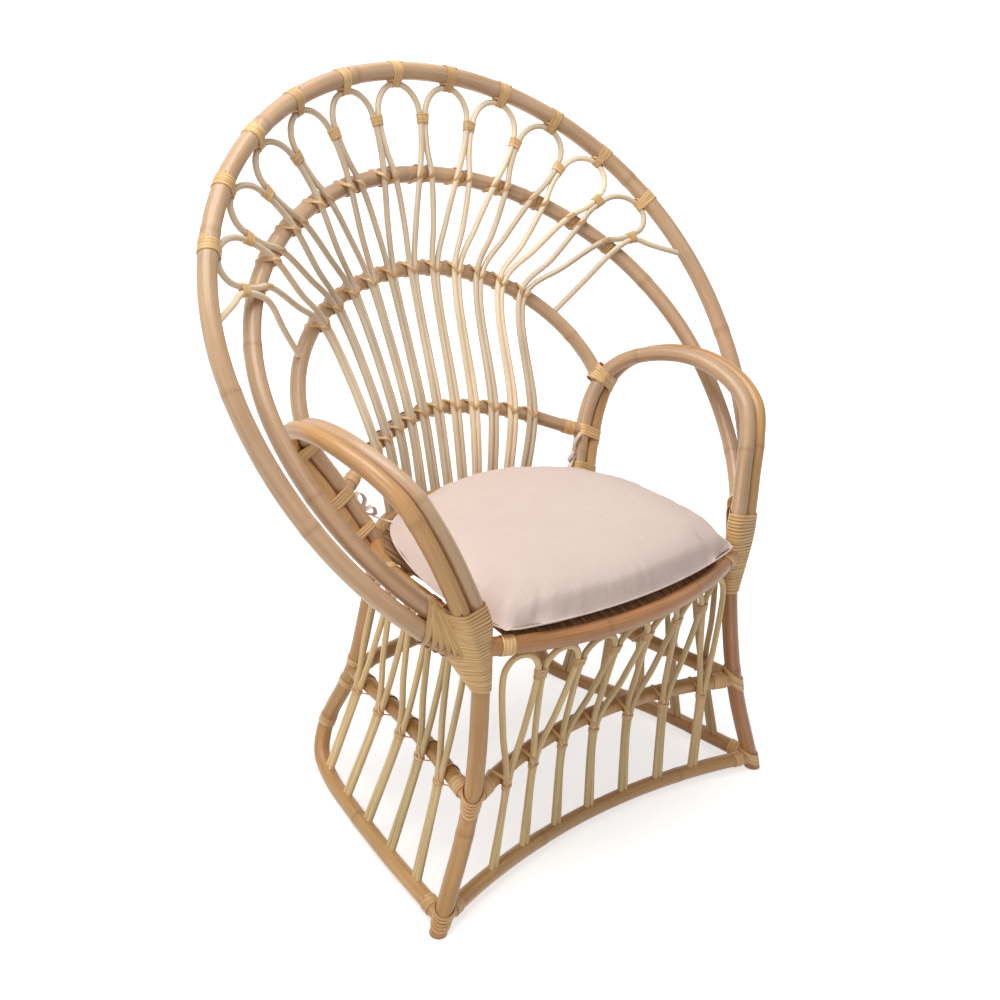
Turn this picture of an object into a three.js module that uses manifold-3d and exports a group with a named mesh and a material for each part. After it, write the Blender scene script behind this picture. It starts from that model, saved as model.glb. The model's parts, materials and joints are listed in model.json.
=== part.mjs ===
// Rattan peacock chair: a fan back of thin hairpin rods on three hoops, two arms of paired poles,
// a round-backed seat with a loose cushion, and a waisted base with a skirt of hairpin rods.
// Millimetres, +Z up, the chair faces -Y and is symmetric about X = 0.
import * as THREE from 'three';
import { mergeVertices } from 'three/addons/utils/BufferGeometryUtils.js';
import Module from 'manifold-3d';

const wasm = await Module();
wasm.setup();

// Driving dimensions: pole and rod diameters
const OUTER_HOOP_DIAMETER = 28;
const MIDDLE_HOOP_DIAMETER = 26;
const INNER_HOOP_DIAMETER = 24;
const BACK_RAIL_DIAMETER = 22;
const ARM_DIAMETER = 25;
const LEG_DIAMETER = 26;
const SIDE_POLE_DIAMETER = 25;
const RAIL_DIAMETER = 24;
const SEAT_RAIL_DIAMETER = 27;
const SEAT_BAR_DIAMETER = 18;
const FAN_ROD_DIAMETER = 9.5;
const SKIRT_ROD_DIAMETER = 9.5;
const SLAT_DIAMETER = 9.5;
const CLEARANCE = 0.3;
const CROSSING_GAP = 0.8;
const WINDING_GAP = 0.6;

// Driving dimensions: seat and base
const SEAT_HEIGHT = 392;
const SEAT_BACK = 97;
const SEAT_HALF_WIDTH = 262;
const SEAT_WIDEST_FORWARD = 120;
const SEAT_BACK_SQUARENESS = 2.4;
const SEAT_SIDE_IN = 4;
const SEAT_FRONT_BOW = 56;
const CORNER_HALF_SPAN = 283;
const CORNER_FORWARD = 268;
const LEG_TOP_RISE = 38;
const LEG_NECK_DROP = 42;
const LEG_NECK_IN = 4;
const LEG_NECK_FORWARD = 14;
const FOOT_HALF_SPAN = 365;
const FOOT_FORWARD = 365;
const FOOT_EXTRA = 12;
const MID_RAIL_HEIGHT = 176;
const LEG_MID_HALF_SPAN = 300;
const LEG_MID_FORWARD = 325;
const BOTTOM_RAIL_HEIGHT = 20;
const FRONT_BOTTOM_BOW = 50;
const FRONT_MID_BOW = 56;
const SIDE_POLE_HALF_SPAN = 322;
const REAR_CORNER_HALF_SPAN = 262;
const REAR_CORNER_BACK = 28;
const REAR_LEG_HALF_SPAN = 235;
const REAR_LEG_KICK = 50;
const REAR_LEG_WAIST_BACK = 4;
const REAR_WAIST_SWAY = 12;
const REAR_BEND_OUT = 9;
const REAR_BEND_RISE = 42;
const SIDE_MID_HALF_SPAN = 257;
const REAR_RAIL_BOW = 22;

// Driving dimensions: hoops of the back, each a pair of half ellipses in a leaning plane
const OUTER_CROWN_BACK = 362;
const OUTER_CROWN_HEIGHT = 1004;
const OUTER_HALF_WIDTH = 503;
const OUTER_CROWN_RISE = 458;
const OUTER_ROOT_DROP = 20;
const MIDDLE_CROWN_FORWARD = 46;
const MIDDLE_CROWN_DROP = 151;
const MIDDLE_SIDE_GAP = 63;
const MIDDLE_CROWN_RISE = 388;
const MIDDLE_ROOT_LIFT = 13;
const INNER_CROWN_FORWARD = 43;
const INNER_CROWN_DROP = 141;
const INNER_END_RISE = 150;
const BACK_RAIL_CROWN_BACK = 167;
const BACK_RAIL_RISE = 119;
const BACK_RAIL_QUARTER_RISE = 109;
const BACK_RAIL_QUARTER_SHARE = 0.32;
const BACK_RAIL_END_RISE = 75;

// Driving dimensions: fan of hairpin rods
const FAN_LOOPS = 11;
const FAN_OUTER_PITCH = 110;
const FAN_MIDDLE_PITCH = 77;
const FAN_MIDDLE_OPENING = 52;
const FAN_INNER_PITCH = 46.5;
const FAN_RAIL_PITCH = 37;
const FAN_SEAT_PITCH = 30;
const FAN_ARCH_HEIGHT = 52;
const END_ROD_OUTER_PITCHES = 6.05;
const END_ROD_INNER_PITCHES = 6.5;
const END_ROD_HOOK_PITCHES = 0.25;
const END_ROD_HOOK_LEVEL = 0.16;
const END_ROD_MIDDLE_PITCHES = 0.16;
const LEG_BELLY = 3;

// Driving dimensions: arms, inside the middle hoop, heights above the seat rail
const ARM_FRONT_OUT = 34;
const ARM_FRONT_FORWARD = 232;
const ARM_FRONT_RISE = 124;
const ARM_SHOULDER_IN = 82;
const ARM_SHOULDER_FORWARD = 180;
const ARM_SHOULDER_RISE = 207;
const ARM_TOP_IN = 64;
const ARM_TOP_FORWARD = 97;
const ARM_TOP_RISE = 233;
const ARM_BACK_IN = 68;
const ARM_BACK_FORWARD = 16;
const ARM_BACK_RISE = 229;
const ARM_TURN_IN = 94;
const ARM_TURN_BACK = 62;
const ARM_TURN_RISE = 196;
const ARM_POST_IN = 122;
const ARM_POST_BACK = 88;
const ARM_POST_RISE = 156;
const ARM_POST_FOOT_OUT = 12;
const ARM_POST_FOOT_BACK = 72;
const ARM_POST_FOOT_RISE = 96;
const ARM_END_FROM_CORNER = 300;

// Driving dimensions: skirts
const FRONT_LOOPS = 7;
const FRONT_TOP_PITCH = 73;
const FRONT_MID_PITCH = 77;
const FRONT_BOTTOM_PITCH = 78;
const FRONT_ARCH_HEIGHT = 36;
const SIDE_LOOPS = 5;
const SIDE_TOP_FIRST = 46;
const SIDE_TOP_PITCH = 46;
const SIDE_MID_FIRST = 60;
const SIDE_MID_PITCH = 60;
const SIDE_BOTTOM_FIRST = 68;
const SIDE_BOTTOM_PITCH = 74;
const SIDE_ARCH_HEIGHT = 30;

// Driving dimensions: seat deck and cushion
const SLAT_PITCH = 19;
const MAT_CORNER = 48;
const SLAT_TOP_RISE = 14;
const FRONT_BAR_FORWARD = 215;
const REAR_BAR_FORWARD = 60;
const CUSHION_THICKNESS = 58;
const CUSHION_SEAM_RISE = 24;
const CUSHION_CORNER_IN = 25;
const CUSHION_CORNER_OUT = 22;
const CUSHION_FRONT_BOW = 30;
const CUSHION_SIDE_OUT = 6;
const CUSHION_SIDE_FORWARD = 30;
const CUSHION_SHOULDER_IN = 68;
const CUSHION_SHOULDER_FORWARD = 75;
const CUSHION_BACK_GAP = 35;
const CUSHION_CROWN_FLATNESS = 3.4;
const CUSHION_CROWN_SHOULDER = 0.75;
const CUSHION_BASE_SHARE = 0.78;
const CUSHION_BASE_CURVE = 1.6;

// Driving dimensions: cane windings
const CANE_WIDTH = 5.4;
const CANE_THICKNESS = 1.6;
const CANE_PITCH = 6.9;
const ARM_FOOT_TURNS = 6;
const LEG_WINDING_TURNS = 5;
const LEG_WINDING_DROP = 80;

// Facets and spans of the curves
const POLE_SIDES = 8;
const ROD_SIDES = 5;
const RAIL_HALF_SPANS = 4;
const RING_BACK_SPANS = 7;
const HOOP_HALF_SPANS = 20;
const INNER_HALF_SPANS = 8;
const BEND_SPANS = 3;
const ARM_SPANS = 2;
const MAT_EDGE_SPANS = 22;
const CANE_STEPS = 12;
const CUSHION_FRONT_STEPS = 12;
const CUSHION_REAR_STEPS = 28;
const CUSHION_RING_SHARES = [0.35, 0.62, 0.8, 0.9, 0.96];

// Colours of the finishes
const HONEY = new THREE.MeshStandardMaterial({ color: 0xc99a62, roughness: 0.45, metalness: 0 });
const CHESTNUT = new THREE.MeshStandardMaterial({ color: 0xa8713f, roughness: 0.45, metalness: 0 });
const STRAW = new THREE.MeshStandardMaterial({ color: 0xd9bd86, roughness: 0.55, metalness: 0 });
const CANE = new THREE.MeshStandardMaterial({ color: 0xdcb97c, roughness: 0.5, metalness: 0 });
const BLUSH = new THREE.MeshStandardMaterial({ color: 0xd8bfb1, roughness: 0.95, metalness: 0 });

const point = (x, y, z) => new THREE.Vector3(x, y, z);
const mirrored = (points) => points.map((p) => point(-p.x, p.y, p.z));
const mirroredBothEnds = (half) => [...mirrored(half.slice(1)).reverse(), ...half];

// Points along a smooth curve through the given points, a number of steps to each span.
function smooth(points, stepsPerSpan) {
  const curve = new THREE.CatmullRomCurve3(points, false, 'centripetal');
  const steps = (points.length - 1) * stepsPerSpan;
  return Array.from({ length: steps + 1 }, (_, i) => curve.getPoint(i / steps));
}

// A path that keeps the given stations, instead of spacing them evenly.
class StationPath extends THREE.CatmullRomCurve3 {
  getUtoTmapping(u) {
    return u;
  }
}

// Turns a closed geometry into a solid that can be joined and cut.
function solidOf(geometry) {
  const bare = geometry.clone();
  bare.deleteAttribute('normal');
  bare.deleteAttribute('uv');
  const merged = mergeVertices(bare, 1e-4);
  const vertProperties = new Float32Array(merged.attributes.position.array);
  const triVerts = new Uint32Array(merged.index.array);
  return new wasm.Manifold(new wasm.Mesh({ numProp: 3, vertProperties, triVerts }));
}

// Turns a solid back into a geometry. Crumbs that a cut leaves beside the piece are dropped.
function geometryOf(solid) {
  const bodies = solid.decompose().sort((a, b) => b.volume() - a.volume());
  const mesh = bodies[0].getMesh();
  const geometry = new THREE.BufferGeometry();
  geometry.setAttribute('position', new THREE.BufferAttribute(new Float32Array(mesh.vertProperties), 3));
  geometry.setIndex(new THREE.BufferAttribute(new Uint32Array(mesh.triVerts), 1));
  return geometry;
}

// A bent pole or rod: round section, straight between its stations.
class Pole {
  constructor(stations, diameter, sides = POLE_SIDES) {
    this.stations = stations;
    this.radius = diameter / 2;
    this.sides = sides;
    this.reach = [0];
    for (let i = 1; i < stations.length; i += 1) {
      this.reach.push(this.reach[i - 1] + stations[i].distanceTo(stations[i - 1]));
    }
    this.length = this.reach[stations.length - 1];
  }

  spanAt(distance) {
    let i = 1;
    while (i < this.stations.length - 1 && this.reach[i] < distance) i += 1;
    return i;
  }

  // The point of the axis at a distance from its first station.
  at(distance) {
    const i = this.spanAt(distance);
    const share = (distance - this.reach[i - 1]) / (this.reach[i] - this.reach[i - 1]);
    return this.stations[i - 1].clone().lerp(this.stations[i], share);
  }

  // The point of the axis at a distance from its middle, plus to the right.
  fromMiddle(distance) {
    return this.at(this.length / 2 + distance);
  }

  headingAt(distance) {
    const ahead = this.at(Math.min(distance + this.radius, this.length));
    const behind = this.at(Math.max(distance - this.radius, 0));
    return ahead.sub(behind).normalize();
  }

  // The point of the axis that lies nearest to a point.
  nearestTo(p) {
    const span = new THREE.Line3();
    const nearest = this.stations[0].clone();
    const near = point(0, 0, 0);
    for (let i = 1; i < this.stations.length; i += 1) {
      span.set(this.stations[i - 1], this.stations[i]).closestPointToPoint(p, true, near);
      if (near.distanceTo(p) < nearest.distanceTo(p)) nearest.copy(near);
    }
    return nearest;
  }

  // How far a point lies from the axis.
  distanceTo(p) {
    return this.nearestTo(p).distanceTo(p);
  }

  solid(grown = 0) {
    const radius = this.radius + grown;
    const ring = Array.from({ length: this.sides }, (_, i) => {
      const angle = (2 * Math.PI * (i + 0.5)) / this.sides;
      return new THREE.Vector2(radius * Math.cos(angle), radius * Math.sin(angle));
    });
    const extrudePath = new StationPath(this.stations, false, 'centripetal');
    const steps = this.stations.length - 1;
    const options = { steps, extrudePath, bevelEnabled: false };
    return solidOf(new THREE.ExtrudeGeometry(new THREE.Shape(ring), options));
  }

  // The solid, cut back to clear the poles that it butts against.
  copedTo(others) {
    return others.reduce((body, other) => body.subtract(other.solid(CLEARANCE)), this.solid());
  }
}

// Everything under the floor, to cut feet flat.
const UNDERGROUND_SIZE = 2000;
const underground = solidOf(
  new THREE.BoxGeometry(UNDERGROUND_SIZE, UNDERGROUND_SIZE, UNDERGROUND_SIZE)
    .translate(0, 0, -UNDERGROUND_SIZE / 2),
);

const chair = new THREE.Group();
function add(group, name, solid, material) {
  const mesh = new THREE.Mesh(geometryOf(solid), material);
  mesh.name = name;
  group.add(mesh);
}
function section() {
  const group = new THREE.Group();
  chair.add(group);
  return group;
}

// Front legs: waisted poles from the splayed feet to the seat corners
const legLine = smooth([
  point(FOOT_HALF_SPAN, -FOOT_FORWARD, 0),
  point(LEG_MID_HALF_SPAN, -LEG_MID_FORWARD, MID_RAIL_HEIGHT),
  point(CORNER_HALF_SPAN - LEG_NECK_IN, -CORNER_FORWARD - LEG_NECK_FORWARD, SEAT_HEIGHT - LEG_NECK_DROP),
  point(CORNER_HALF_SPAN, -CORNER_FORWARD, SEAT_HEIGHT + LEG_TOP_RISE),
], BEND_SPANS);
const footHeading = legLine[0].clone().sub(legLine[1]).normalize();
legLine[0].addScaledVector(footHeading, FOOT_EXTRA);
const legs = { right: new Pole(legLine, LEG_DIAMETER), left: new Pole(mirrored(legLine), LEG_DIAMETER) };

// The point of a pole's axis at a height, for poles that rise all the way.
function atHeight(pole, height) {
  const i = pole.stations.findIndex((p) => p.z >= height);
  const last = i < 1 ? 1 : i;
  const from = pole.stations[last - 1];
  const to = pole.stations[last];
  return from.clone().lerp(to, (height - from.z) / (to.z - from.z));
}

// An end that butts against an axis stops short of it, so that its cope has no thin horns.
const BUTT_SHARE = 0.35;
function buttEnd(axisPoint, towards, pole) {
  const away = towards.clone().sub(axisPoint).normalize();
  return axisPoint.clone().addScaledVector(away, pole.radius * BUTT_SHARE);
}

const corner = atHeight(legs.right, SEAT_HEIGHT);

// Seat front rail: bowed forward between the legs
function bowedRail(endPoint, bow, diameter, leg) {
  const half = Array.from({ length: RAIL_HALF_SPANS + 1 }, (_, i) => {
    const share = i / RAIL_HALF_SPANS;
    const y = endPoint.y + bow * (1 - share * share);
    return point(endPoint.x * share, y, endPoint.z);
  });
  half[half.length - 1] = buttEnd(endPoint, half[half.length - 2], leg);
  return new Pole(mirroredBothEnds(half), diameter);
}
const seatFrontRail = bowedRail(corner, -SEAT_FRONT_BOW, SEAT_RAIL_DIAMETER, legs.right);

// Seat ring: side rails that run into a squarish round back
const ringBackDepth = SEAT_BACK + SEAT_WIDEST_FORWARD;
const ringHalf = Array.from({ length: RING_BACK_SPANS + 1 }, (_, i) => {
  const angle = (Math.PI / 2) * (i / RING_BACK_SPANS);
  const power = 2 / SEAT_BACK_SQUARENESS;
  const x = SEAT_HALF_WIDTH * Math.sin(angle) ** power;
  const y = ringBackDepth * Math.cos(angle) ** power - SEAT_WIDEST_FORWARD;
  return point(x, y, SEAT_HEIGHT);
});
const ringSide = point((SEAT_HALF_WIDTH + corner.x) / 2, (corner.y - SEAT_WIDEST_FORWARD) / 2, SEAT_HEIGHT);
ringSide.x -= SEAT_SIDE_IN;
ringHalf.push(ringSide);
ringHalf.push(buttEnd(corner, ringHalf[ringHalf.length - 1], legs.right));
const seatRing = new Pole(mirroredBothEnds(ringHalf), SIDE_POLE_DIAMETER);

// The point of the right half of the seat ring at a place from front to back.
function ringAt(y) {
  const i = ringHalf.findIndex((p) => p.y <= y);
  const from = ringHalf[i - 1];
  const to = ringHalf[i];
  return from.clone().lerp(to, (y - from.y) / (to.y - from.y));
}

// A hoop of the back: upper and lower half ellipses in the plane from its root to its crown
function hoopHalf(root, crown, halfWidth, crownRise) {
  const slope = point(0, crown.y - root.y, crown.z - root.z);
  const toCrown = slope.length();
  slope.normalize();
  const widest = toCrown - crownRise;
  const lowerRise = widest / Math.sqrt(1 - (root.x / halfWidth) ** 2);
  const lastAngle = Math.PI - Math.asin(root.x / halfWidth);
  return Array.from({ length: HOOP_HALF_SPANS + 1 }, (_, i) => {
    const angle = (lastAngle * i) / HOOP_HALF_SPANS;
    const rise = angle < Math.PI / 2 ? crownRise : lowerRise;
    const along = widest + rise * Math.cos(angle);
    return point(halfWidth * Math.sin(angle), root.y, root.z).addScaledVector(slope, along);
  });
}
function cornerHoop(rootHeight, crown, halfWidth, crownRise, diameter) {
  const root = atHeight(legs.right, rootHeight);
  const half = hoopHalf(root, crown, halfWidth, crownRise);
  half[half.length - 1] = buttEnd(root, half[half.length - 2], legs.right);
  return new Pole(mirroredBothEnds(half), diameter);
}
const outerCrown = point(0, OUTER_CROWN_BACK, OUTER_CROWN_HEIGHT);
const outerHoop = cornerHoop(
  SEAT_HEIGHT - OUTER_ROOT_DROP,
  outerCrown,
  OUTER_HALF_WIDTH,
  OUTER_CROWN_RISE,
  OUTER_HOOP_DIAMETER,
);
const middleCrown = outerCrown.clone().sub(point(0, MIDDLE_CROWN_FORWARD, MIDDLE_CROWN_DROP));
const middleHalfWidth = OUTER_HALF_WIDTH - MIDDLE_SIDE_GAP;
const middleHoop = cornerHoop(
  SEAT_HEIGHT + MIDDLE_ROOT_LIFT,
  middleCrown,
  middleHalfWidth,
  MIDDLE_CROWN_RISE,
  MIDDLE_HOOP_DIAMETER,
);

// Arms: an inner pole on top of the leg, and an outer pole beside it all the way
const legTop = legs.right.stations[legs.right.stations.length - 1];
const legTopHeading = legs.right.headingAt(legs.right.length);
const armFoot = legTop.clone().addScaledVector(legTopHeading, CLEARANCE);
const ringTouch = seatRing.at(seatRing.length - ARM_END_FROM_CORNER);
const armLine = smooth([
  armFoot,
  point(CORNER_HALF_SPAN + ARM_FRONT_OUT, -ARM_FRONT_FORWARD, SEAT_HEIGHT + ARM_FRONT_RISE),
  point(middleHalfWidth - ARM_SHOULDER_IN, -ARM_SHOULDER_FORWARD, SEAT_HEIGHT + ARM_SHOULDER_RISE),
  point(middleHalfWidth - ARM_TOP_IN, -ARM_TOP_FORWARD, SEAT_HEIGHT + ARM_TOP_RISE),
  point(middleHalfWidth - ARM_BACK_IN, -ARM_BACK_FORWARD, SEAT_HEIGHT + ARM_BACK_RISE),
  point(middleHalfWidth - ARM_TURN_IN, ARM_TURN_BACK, SEAT_HEIGHT + ARM_TURN_RISE),
  point(middleHalfWidth - ARM_POST_IN, ARM_POST_BACK, SEAT_HEIGHT + ARM_POST_RISE),
  point(SEAT_HALF_WIDTH + ARM_POST_FOOT_OUT, ARM_POST_FOOT_BACK, SEAT_HEIGHT + ARM_POST_FOOT_RISE),
  ringTouch,
], ARM_SPANS);
const armInner = new Pole(armLine, ARM_DIAMETER);

// The sideways direction, square to the inner pole, in which the outer pole lies.
function armSide(distance) {
  const heading = armInner.headingAt(distance);
  return point(1, 0, 0).addScaledVector(heading, -heading.x).normalize();
}
const armSpacing = ARM_DIAMETER + CLEARANCE;
const armOuterLine = armLine.map((p, i) => p.clone().addScaledVector(armSide(armInner.reach[i]), armSpacing));
const armOuter = new Pole(armOuterLine, ARM_DIAMETER);

// Rear posts of the arms, counted upwards from the seat
const POST_STATIONS = 8;
const postRight = new Pole([...armLine].reverse().slice(0, POST_STATIONS), ARM_DIAMETER);

// Lower back rail: bowed between the rear posts of the arms
const railEnd = atHeight(postRight, SEAT_HEIGHT + BACK_RAIL_END_RISE);
const railQuarter = point(railEnd.x / 2, 0, SEAT_HEIGHT + BACK_RAIL_QUARTER_RISE);
railQuarter.y = THREE.MathUtils.lerp(BACK_RAIL_CROWN_BACK, railEnd.y, BACK_RAIL_QUARTER_SHARE);
const railCrown = point(0, BACK_RAIL_CROWN_BACK, SEAT_HEIGHT + BACK_RAIL_RISE);
const backRail = new Pole(
  smooth(mirroredBothEnds([railCrown, railQuarter, buttEnd(railEnd, railQuarter, armInner)]), BEND_SPANS),
  BACK_RAIL_DIAMETER,
);

// Inner hoop: half an ellipse that leans forward from its crown and butts against the rear posts
const postTouch = atHeight(postRight, SEAT_HEIGHT + INNER_END_RISE);
const innerCrown = middleCrown.clone().sub(point(0, INNER_CROWN_FORWARD, INNER_CROWN_DROP));
const innerFall = point(0, postTouch.y - innerCrown.y, postTouch.z - innerCrown.z);
const innerHalf = Array.from({ length: INNER_HALF_SPANS }, (_, i) => {
  const angle = (Math.PI / 2) * (i / INNER_HALF_SPANS);
  const level = innerCrown.clone().addScaledVector(innerFall, 1 - Math.cos(angle));
  return level.add(point(postTouch.x * Math.sin(angle), 0, 0));
});
innerHalf.push(buttEnd(postTouch, innerHalf[innerHalf.length - 1], armInner));
const innerHoop = new Pole(mirroredBothEnds(innerHalf), INNER_HOOP_DIAMETER);

// Base: side poles that run back along the floor and bend up into the rear legs
const sideStart = atHeight(legs.right, BOTTOM_RAIL_HEIGHT);
const floorAxis = SIDE_POLE_DIAMETER / 2 - CLEARANCE;
const ringOverLeg = ringAt(REAR_LEG_WAIST_BACK);
const legRise = SEAT_HEIGHT - MID_RAIL_HEIGHT;
const sideLine = smooth([
  sideStart,
  point(SIDE_POLE_HALF_SPAN, (sideStart.y + REAR_CORNER_BACK) / 2, (BOTTOM_RAIL_HEIGHT + floorAxis) / 2),
  point(REAR_CORNER_HALF_SPAN, REAR_CORNER_BACK, floorAxis),
  point(REAR_LEG_HALF_SPAN + REAR_BEND_OUT, REAR_LEG_KICK, floorAxis + REAR_BEND_RISE),
  point(REAR_LEG_HALF_SPAN, REAR_LEG_WAIST_BACK + REAR_WAIST_SWAY, MID_RAIL_HEIGHT),
  point(REAR_LEG_HALF_SPAN, REAR_LEG_WAIST_BACK, MID_RAIL_HEIGHT + legRise / 2),
  point(ringOverLeg.x, ringOverLeg.y, SEAT_HEIGHT - seatRing.radius * BUTT_SHARE),
], BEND_SPANS);
sideLine[0] = buttEnd(sideStart, sideLine[1], legs.right);
const sidePoles = {
  right: new Pole(sideLine, SIDE_POLE_DIAMETER),
  left: new Pole(mirrored(sideLine), SIDE_POLE_DIAMETER),
};
const REAR_LEG_STATIONS = 9;
const rearLeg = new Pole(sideLine.slice(-REAR_LEG_STATIONS), SIDE_POLE_DIAMETER);

// Base rails
const frontBottomRail = bowedRail(sideStart, FRONT_BOTTOM_BOW, RAIL_DIAMETER, legs.right);
const legMid = atHeight(legs.right, MID_RAIL_HEIGHT);
const frontMidRail = bowedRail(legMid, FRONT_MID_BOW, RAIL_DIAMETER, legs.right);
const rearLegMid = atHeight(rearLeg, MID_RAIL_HEIGHT);
const rearMidRail = bowedRail(rearLegMid, REAR_RAIL_BOW, RAIL_DIAMETER, sidePoles.right);
const sideMidWaist = point(SIDE_MID_HALF_SPAN, (legMid.y + rearLegMid.y) / 2, MID_RAIL_HEIGHT);
const sideMidLine = smooth([
  buttEnd(legMid, sideMidWaist, legs.right),
  sideMidWaist,
  buttEnd(rearLegMid, sideMidWaist, sidePoles.right),
], RAIL_HALF_SPANS);
const sideMidRails = {
  right: new Pole(sideMidLine, RAIL_DIAMETER),
  left: new Pole(mirrored(sideMidLine), RAIL_DIAMETER),
};

const LOOP_NUDGE = 0.1;
const HALVINGS = 30;
const ARCH_DEGREES = [30, 60];

// A field of hairpin rods between two poles. Loops are counted along both poles, level 0 is on the
// lower pole and level 1 on the upper one. Rods run in front of the lower pole, and their arches
// end under the upper pole.
class LoopField {
  constructor(lower, lowerAt, upper, upperAt, rodDiameter) {
    Object.assign(this, { lower, lowerAt, upper, upperAt });
    this.rodRadius = rodDiameter / 2;
    this.spacing = rodDiameter + CLEARANCE;
  }

  flat(loop, level) {
    return this.lowerAt(loop).lerp(this.upperAt(loop), level);
  }

  across(loop, level) {
    return this.flat(loop + LOOP_NUDGE, level).sub(this.flat(loop - LOOP_NUDGE, level)).normalize();
  }

  front(loop) {
    const up = this.upperAt(loop).sub(this.lowerAt(loop));
    return this.across(loop, 0).cross(up).normalize();
  }

  depth(loop) {
    return this.upperAt(loop).distanceTo(this.lowerAt(loop));
  }

  // The level at which a rod just clears the upper pole.
  archLevel(loop) {
    const clear = this.upper.radius + this.rodRadius + CLEARANCE;
    let low = 0;
    let high = 1;
    for (let i = 0; i < HALVINGS; i += 1) {
      const level = (low + high) / 2;
      if (this.upper.distanceTo(this.flat(loop, level)) > clear) low = level;
      else high = level;
    }
    return low;
  }

  // A point of the field, eased from in front of the lower pole to under the upper one.
  at(loop, level) {
    const lift = this.lower.radius + this.rodRadius + CROSSING_GAP;
    const ease = Math.max(0, 1 - level / this.archLevel(loop));
    return this.flat(loop, level).addScaledVector(this.front(loop), lift * ease);
  }

  // Half a hairpin, from the lower pole up to just short of the crown of its arch.
  half(loop, side, opening, archHeight) {
    const edge = loop + side / 2;
    const shoulderLevel = this.archLevel(edge) - archHeight / this.depth(edge);
    const inward = this.across(edge, shoulderLevel).multiplyScalar((-side * this.spacing) / 2);
    const shoulder = this.at(edge, shoulderLevel).add(inward);
    const width = this.flat(edge, shoulderLevel).distanceTo(this.flat(loop, shoulderLevel));
    const reach = (side / 2) * (1 - this.spacing / 2 / width);
    const foot = this.at(loop, 0).addScaledVector(this.across(loop, 0), (side * opening) / 2);
    const middle = foot.clone().add(shoulder).divideScalar(2);
    middle.addScaledVector(this.across(loop, shoulderLevel / 2), side * LEG_BELLY);
    const top = this.archLevel(loop);
    const arch = ARCH_DEGREES.map((degrees) => {
      const angle = THREE.MathUtils.degToRad(degrees);
      const level = THREE.MathUtils.lerp(shoulderLevel, top, Math.sin(angle));
      return this.at(loop + reach * Math.cos(angle), level);
    });
    return [foot, middle, shoulder, ...arch];
  }

  // A whole hairpin. The tail gives what each leg does below the lower pole, from its far end up.
  hairpin(loop, opening, archHeight, tail) {
    const left = [...tail(-1), ...this.half(loop, -1, opening, archHeight)];
    const right = [...tail(1), ...this.half(loop, 1, opening, archHeight)];
    const crown = this.at(loop, this.archLevel(loop));
    return new Pole([...left, crown, ...right.reverse()], this.rodRadius * 2, ROD_SIDES);
  }
}

// Fan of the back
const fan = new LoopField(
  middleHoop,
  (loop) => middleHoop.fromMiddle(loop * FAN_MIDDLE_PITCH),
  outerHoop,
  (loop) => outerHoop.fromMiddle(loop * FAN_OUTER_PITCH),
  FAN_ROD_DIAMETER,
);

// A point beside the middle of a pair of rods where it crosses in front of a pole.
function pairOver(pole, fromMiddle, up, side, spacing) {
  const across = pole.headingAt(pole.length / 2 + fromMiddle);
  const front = across.clone().cross(up).normalize();
  const lift = pole.radius + fan.rodRadius + CROSSING_GAP;
  return pole.fromMiddle(fromMiddle)
    .addScaledVector(front, lift)
    .addScaledVector(across, (side * spacing) / 2);
}

function fanLoop(loop) {
  const onInner = innerHoop.fromMiddle(loop * FAN_INNER_PITCH);
  const onRail = backRail.fromMiddle(loop * FAN_RAIL_PITCH);
  const tail = (side) => {
    const seatHeading = seatRing.headingAt(seatRing.length / 2 + loop * FAN_SEAT_PITCH);
    const seat = seatRing.fromMiddle(loop * FAN_SEAT_PITCH)
      .addScaledVector(seatHeading, (side * fan.spacing) / 2);
    const railUp = onInner.clone().sub(onRail);
    const rail = pairOver(backRail, loop * FAN_RAIL_PITCH, railUp, side, fan.spacing);
    const innerUp = fan.flat(loop, 0).sub(onInner);
    const inner = pairOver(innerHoop, loop * FAN_INNER_PITCH, innerUp, side, fan.spacing);
    const middle = fan.at(loop, 0).addScaledVector(fan.across(loop, 0), (side * FAN_MIDDLE_OPENING) / 2);
    const parting = inner.clone().add(middle).divideScalar(2);
    parting.addScaledVector(fan.across(loop, 0), -side * LEG_BELLY);
    return [seat, rail, inner, parting];
  };
  return fan.hairpin(loop, FAN_MIDDLE_OPENING, FAN_ARCH_HEIGHT, tail);
}

// A half loop at the right end of the fan, from the outer hoop to the inner one
function fanEndRod() {
  const edge = FAN_LOOPS / 2;
  const shoulderLevel = fan.archLevel(edge) - FAN_ARCH_HEIGHT / fan.depth(edge);
  const outward = fan.across(edge, shoulderLevel).multiplyScalar(fan.spacing / 2);
  const shoulder = fan.at(edge, shoulderLevel).add(outward);
  const hook = fan.at(edge + END_ROD_HOOK_PITCHES, shoulderLevel + END_ROD_HOOK_LEVEL);
  const middle = fan.at(edge + END_ROD_MIDDLE_PITCHES, 0);
  const start = outerHoop.fromMiddle(FAN_OUTER_PITCH * END_ROD_OUTER_PITCHES);
  const end = innerHoop.fromMiddle(FAN_INNER_PITCH * END_ROD_INNER_PITCHES);
  return [start, hook, shoulder, middle, middle.clone().add(end).divideScalar(2), end];
}

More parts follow.
